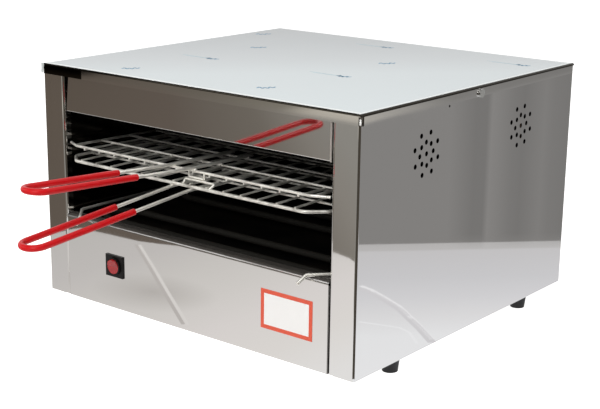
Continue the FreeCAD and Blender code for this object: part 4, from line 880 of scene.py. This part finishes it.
table_right = glow("table_right", (1, 1, 1))
reach = table_right.compute("ADD", table_right.axis("X"), table_right.behind_front())
table_right.drive("Emission Color", seen_ramp(table_right, reach, RIGHT_STOPS))
floor_card("table_right", [(SIDE, -0.3), (1.6, -0.3), (1.6, 1.4), (SIDE, 1.4)], GROUND_HEIGHT, table_right)

# %% [markdown]
# In front the ground brightens from left to right, and the handles shade a soft patch of it. The
# patch could be a real shadow, but no lamp here stands where it would fall that way. It is mixed
# in by the distance from its middle, measured as an ellipse.

# %% Ground in front, with the handles' shade
FRONT_STOPS = [(-0.50, (182, 179, 175)), (-0.30, (188, 184, 181)), (-0.20, (196, 192, 188)),
               (-0.10, (203, 199, 195)), (0.0, (212, 207, 204)), (0.10, (216, 212, 208)),
               (0.20, (222, 220, 218))]
SHADE_X, SHADE_BEFORE = -0.165, 0.105
SHADE_ACROSS, SHADE_ALONG = 14.0, 20.0
SHADE_FADES, SHADE_SHARE = 1.4, 0.55

table_front = glow("table_front", (1, 1, 1))
x, y = table_front.axis("X"), table_front.axis("Y")
across = table_front.compute("MULTIPLY", table_front.compute("SUBTRACT", x, SHADE_X), SHADE_ACROSS)
along = table_front.compute("MULTIPLY", table_front.compute("SUBTRACT", y, FRONT - SHADE_BEFORE),
                            SHADE_ALONG)
square_sum = table_front.compute("ADD", table_front.compute("MULTIPLY", across, across),
                                 table_front.compute("MULTIPLY", along, along))
from_middle = table_front.compute("SQRT", square_sum)
shade_share = table_front.remap(from_middle, (0.0, SHADE_FADES), (SHADE_SHARE, 0.0))
plain = seen_ramp(table_front, x, FRONT_STOPS)
table_front.drive("Emission Color", table_front.mix(shade_share, plain, in_steel(158, 153, 148)))
floor_card("table_front", [(-1.2, -0.6), (SIDE, -0.6), (SIDE, 0.0), (-1.2, 0.0)], GROUND_HEIGHT,
           table_front)

# %% [markdown]
# ## Streaks in the reflections
#
# Thin bright and grey streaks run across the lower reflections. They could be painted on the
# sheet, but would then stay put when the view changes. As narrow bands over the ground they slide
# through the steel as real reflections do.

# %% A band through places
STREAK_HEIGHT = 2.5 * MM


def fold(name, places, width, finish):
    """A narrow card through places of (x, distance behind the front)."""
    corners = []
    for i, (x, behind) in enumerate(places):
        before = Vector(places[max(i - 1, 0)])
        after = Vector(places[min(i + 1, len(places) - 1)])
        heading = (after - before).normalized()
        half = Vector((-heading.y, heading.x)) * width / 2
        corners += [(x - half.x, FRONT + behind - half.y, STREAK_HEIGHT),
                    (x + half.x, FRONT + behind + half.y, STREAK_HEIGHT)]
    faces = [(2 * i, 2 * i + 1, 2 * i + 3, 2 * i + 2) for i in range(len(places) - 1)]
    card(name, corners, finish, faces)


def beside(places, x_step, back_step):
    """The same places, a step to the side."""
    return [(x + x_step, behind + back_step) for x, behind in places]


print(f"streaks lie {STREAK_HEIGHT / MM} mm above the floor")

# %% [markdown]
# On the right a bright streak has a grey one beside it, and a thin one lies below them. In front
# there is one pair. The grey bands reuse the bright ones' places, moved a step to the side.

# %% Streaks on the right and in front
SIDE_STREAK = [(0.466, 0.310), (0.445, 0.306), (0.411, 0.291), (0.376, 0.274), (0.347, 0.253),
               (0.316, 0.231), (0.277, 0.200)]
LOW_STREAK = [(0.383, 0.192), (0.367, 0.197), (0.349, 0.203), (0.331, 0.208), (0.312, 0.202),
              (0.283, 0.176)]
FRONT_STREAK = [(-0.335, -0.248), (-0.240, -0.182), (-0.150, -0.118), (-0.040, -0.041)]

grey_fold = glow("grey_fold", in_steel(203, 201, 203))
fold("side_fold_light", SIDE_STREAK, 7 * MM, glow("side_fold", in_steel(228, 227, 228)))
fold("side_fold_grey", beside(SIDE_STREAK, -6 * MM, -9 * MM), 11 * MM, grey_fold)
fold("side_fold_low", LOW_STREAK, 4 * MM, glow("side_low_fold", in_steel(227, 227, 228)))
fold("front_fold_light", FRONT_STREAK, 4.5 * MM, glow("front_fold", in_steel(211, 207, 203)))
fold("front_fold_grey", beside(FRONT_STREAK, -6 * MM, 2 * MM), 5 * MM,
     glow("front_fold_shade", in_steel(180, 175, 171)))

# %% [markdown]
# ## Dark ground farther out
#
# The upper part of each wall mirrors what lies beyond the bright ground, and the line between the
# two has a shape of its own. It could be drawn on the walls, but a card's edge also moves rightly
# when the view changes. On the right the edge is straight. In front it bends to and fro, so it is
# a chain of points.

# %% Dark cards
FRONT_DARK_HEIGHT, RIGHT_DARK_HEIGHT, CORNER_HEIGHT = 3 * MM, 4 * MM, 7 * MM
ASIDE_STOPS = [(-0.45, (90, 81, 72)), (0.0, (97, 88, 80)), (0.12, (104, 97, 89)),
               (0.27, (111, 105, 97)), (0.40, (131, 126, 119)), (0.50, (135, 132, 126))]
FRONT_EDGE = [(1.6, -0.55), (0.42, -0.12), (0.30, -0.12), (-0.034, -0.390), (-0.055, -0.402),
              (-0.088, -0.410), (-0.20, -0.405), (-0.247, -0.300), (-0.278, -0.285),
              (-0.316, -0.270), (-0.349, -0.260), (-0.411, -0.255), (-0.469, -0.250),
              (-0.474, -0.234), (-0.475, -0.214), (-0.474, -0.193), (-0.477, -0.183)]

floor_card("room_right", [(LINE + FAR, -FAR), (LINE + FAR, LINE + FAR), (-FAR, LINE + FAR)],
           RIGHT_DARK_HEIGHT, glow("room_right", in_steel(128, 126, 124)))

room_front = glow("room_front", in_steel(110, 103, 96))
aside = room_front.compute("SUBTRACT", room_front.axis("X"), room_front.behind_front())
room_front.drive("Emission Color", seen_ramp(room_front, aside, ASIDE_STOPS))
floor_card("room_front", [(-FAR, -FAR), (FAR, -FAR)] + FRONT_EDGE + [(-FAR, -0.183)],
           FRONT_DARK_HEIGHT, room_front)

# %% [markdown]
# The casing's rounded front right corner mirrors a narrow fan of ground, and shows as a dark
# upright line. A dark strip on the corner itself would do in one view. A sector of dark ground
# round the corner does in all of them.

# %% The sector beyond the corner
SECTOR_STARTS, SECTOR_ENDS = 0.03, 6.0
SECTOR_TURNS = [math.radians(turn) for turn in range(-12, 97, 12)]


def from_corner(turn, away):
    """A place at a distance from the right front corner; a turn of 0 faces forward."""
    return (SIDE + away * math.sin(turn), -away * math.cos(turn))


floor_card("corner_dark",
           [from_corner(turn, SECTOR_STARTS) for turn in SECTOR_TURNS]
           + [from_corner(turn, SECTOR_ENDS) for turn in reversed(SECTOR_TURNS)],
           CORNER_HEIGHT, glow("corner_dark", in_steel(66, 61, 54)))

# %% [markdown]
# ## What the lid's flanges mirror
#
# The lid's down-turned flanges are seen at a flatter angle than the walls, so they mirror ground
# more than a metre away. Two narrow cards out there set their colours without touching the walls.

# %% Cards for the flanges
FLANGE_HEIGHT = 6 * MM
lid_front = glow("lid_front", (0, 0, 0))
lid_front.drive("Emission Color", seen_ramp(lid_front, lid_front.axis("X"), [
    (-1.80, (3, 3, 3)), (-1.56, (5, 5, 5)), (-1.48, (86, 78, 70)), (-1.10, (100, 94, 85)),
    (-0.86, (120, 115, 105)), (-0.78, (176, 170, 158)), (-0.60, (184, 178, 168))]))
floor_card("lid_front", [(-2.4, -1.205), (-0.2, -1.205), (-0.2, -1.5), (-2.4, -1.5)],
           FLANGE_HEIGHT, lid_front)

lid_right = glow("lid_right", (0, 0, 0))
lid_right.drive("Emission Color", seen_ramp(lid_right, lid_right.behind_front(), [
    (1.20, (172, 168, 160)), (1.42, (150, 147, 142)), (1.60, (121, 119, 116)), (2.30, (116, 114, 112))]))
floor_card("lid_right", [(1.112, 1.0), (1.5, 1.0), (1.5, 3.0), (1.112, 3.0)], FLANGE_HEIGHT, lid_right)

# %% [markdown]
# ## Dark walls round the studio
#
# The bends of the sheet mirror a wide sweep of surroundings. Left to the white surround they
# would flare, so a ceiling and two walls of dim card stand behind the lamps.

# %% Walls and ceiling
WALL, LEFT_END, CEILING = 3.0, -4.0, 2.6
room_wall = glow("room_wall", linear(62, 57, 52))
card("ceiling", [(LEFT_END, FRONT - WALL, CEILING), (WALL, FRONT - WALL, CEILING),
                 (WALL, FRONT + 1.0, CEILING), (LEFT_END, FRONT + 0.1, CEILING)], room_wall)
card("wall_front", [(LEFT_END, FRONT - WALL, 0), (-LEFT_END, FRONT - WALL, 0),
                    (-LEFT_END, FRONT - WALL, CEILING), (LEFT_END, FRONT - WALL, CEILING)], room_wall)
card("wall_right", [(WALL, FRONT - WALL, 0), (WALL, FRONT + WALL, 0), (WALL, FRONT + WALL, CEILING),
                    (WALL, FRONT - WALL, CEILING)], room_wall)

# %% [markdown]
# ## White surround
#
# The background is plain white, also as seen in gloss and through clear things, but as a light it
# counts only half, so that it doesn't flood the toaster. The world tells the two apart by what
# kind of ray asks.

# %% World
SURROUND_LIGHT, SURROUND_SEEN = 0.5, 1.0
world = bpy.data.worlds.new("surround")
bpy.context.scene.world = world
world.use_nodes = True
sky = world.node_tree
path = sky.nodes.new("ShaderNodeLightPath")
looking = path.outputs["Is Camera Ray"]
for kind in ("Is Glossy Ray", "Is Transmission Ray"):
    either = sky.nodes.new("ShaderNodeMath")
    either.operation = "MAXIMUM"
    sky.links.new(looking, either.inputs[0])
    sky.links.new(path.outputs[kind], either.inputs[1])
    looking = either.outputs[0]
strength = sky.nodes.new("ShaderNodeMapRange")
strength.inputs["To Min"].default_value = SURROUND_LIGHT
strength.inputs["To Max"].default_value = SURROUND_SEEN
sky.links.new(looking, strength.inputs["Value"])
background = sky.nodes["Background"]
background.inputs["Color"].default_value = (1, 1, 1, 1)
sky.links.new(strength.outputs["Result"], background.inputs["Strength"])
print(f"surround: {SURROUND_SEEN} when looked at, {SURROUND_LIGHT} as light")

# %% [markdown]
# ## Lamps
#
# Three soft lamps light what isn't mirror-like: sleeves, wires, film and label. One hard lamp
# would be simpler, but its shadows inside the grids would be a tangle. The large lamp overhead
# fills in, the left one is faint, and the right one, near the camera's side, models the forms.

# %% Soft lamps
AIM = Vector((0, 0, 0.2))


def soft_lamp(name, place, width, power):
    """A square area lamp that faces the toaster."""
    light = bpy.data.lights.new(name, "AREA")
    light.shape = "RECTANGLE"
    light.size = width
    light.size_y = width
    light.energy = power
    lamp = bpy.data.objects.new(name, light)
    lamp.location = place
    lamp.rotation_euler = (AIM - Vector(place)).to_track_quat("-Z", "Y").to_euler()
    bpy.context.scene.collection.objects.link(lamp)
    print(f"{name}: {power} W from {(AIM - Vector(place)).length:.1f} m")


soft_lamp("overhead", (0.4, -0.6, 2.2), 1.6, 15)
soft_lamp("front_left", (-1.5, -1.9, 1.3), 0.9, 10)
soft_lamp("front_right", (0.9, -2.4, 1.5), 1.0, 32)

# %% [markdown]
# ## Camera
#
# The toaster is seen from the front right, a little above the lid, through a long lens. The place
# and the turns come from fitting the casing's corners, so they are angles with decimals. The
# camera could be aimed at a target, but then its small roll would need a second step. Three
# directions, right, up and back, give the whole turn at once.

# %% Aim the camera
CAMERA_PLACE = Vector((1.05099, FRONT - 1.11, 0.58667))
AZIMUTH, ELEVATION, ROLL = 0.67060, 0.2626, 0.0143
forward = Vector((-math.sin(AZIMUTH) * math.cos(ELEVATION),
                  math.cos(AZIMUTH) * math.cos(ELEVATION), -math.sin(ELEVATION)))
level = Vector((math.cos(AZIMUTH), math.sin(AZIMUTH), 0))
upward = level.cross(forward)
right = math.cos(ROLL) * level + math.sin(ROLL) * upward
rolled_up = -math.sin(ROLL) * level + math.cos(ROLL) * upward

lens = bpy.data.cameras.new("camera")
lens.sensor_fit = "HORIZONTAL"
lens.sensor_width = 36
lens.lens = 79.73
camera = bpy.data.objects.new("camera", lens)
turn = Matrix((right, rolled_up, -forward)).transposed().to_4x4()
camera.matrix_world = Matrix.Translation(CAMERA_PLACE) @ turn
bpy.context.scene.collection.objects.link(camera)
bpy.context.scene.camera = camera
bpy.context.scene.view_settings.view_transform = "Standard"
print(f"camera: {lens.lens:.1f} mm, {CAMERA_PLACE.length:.2f} m from the toaster")

# %% [markdown]
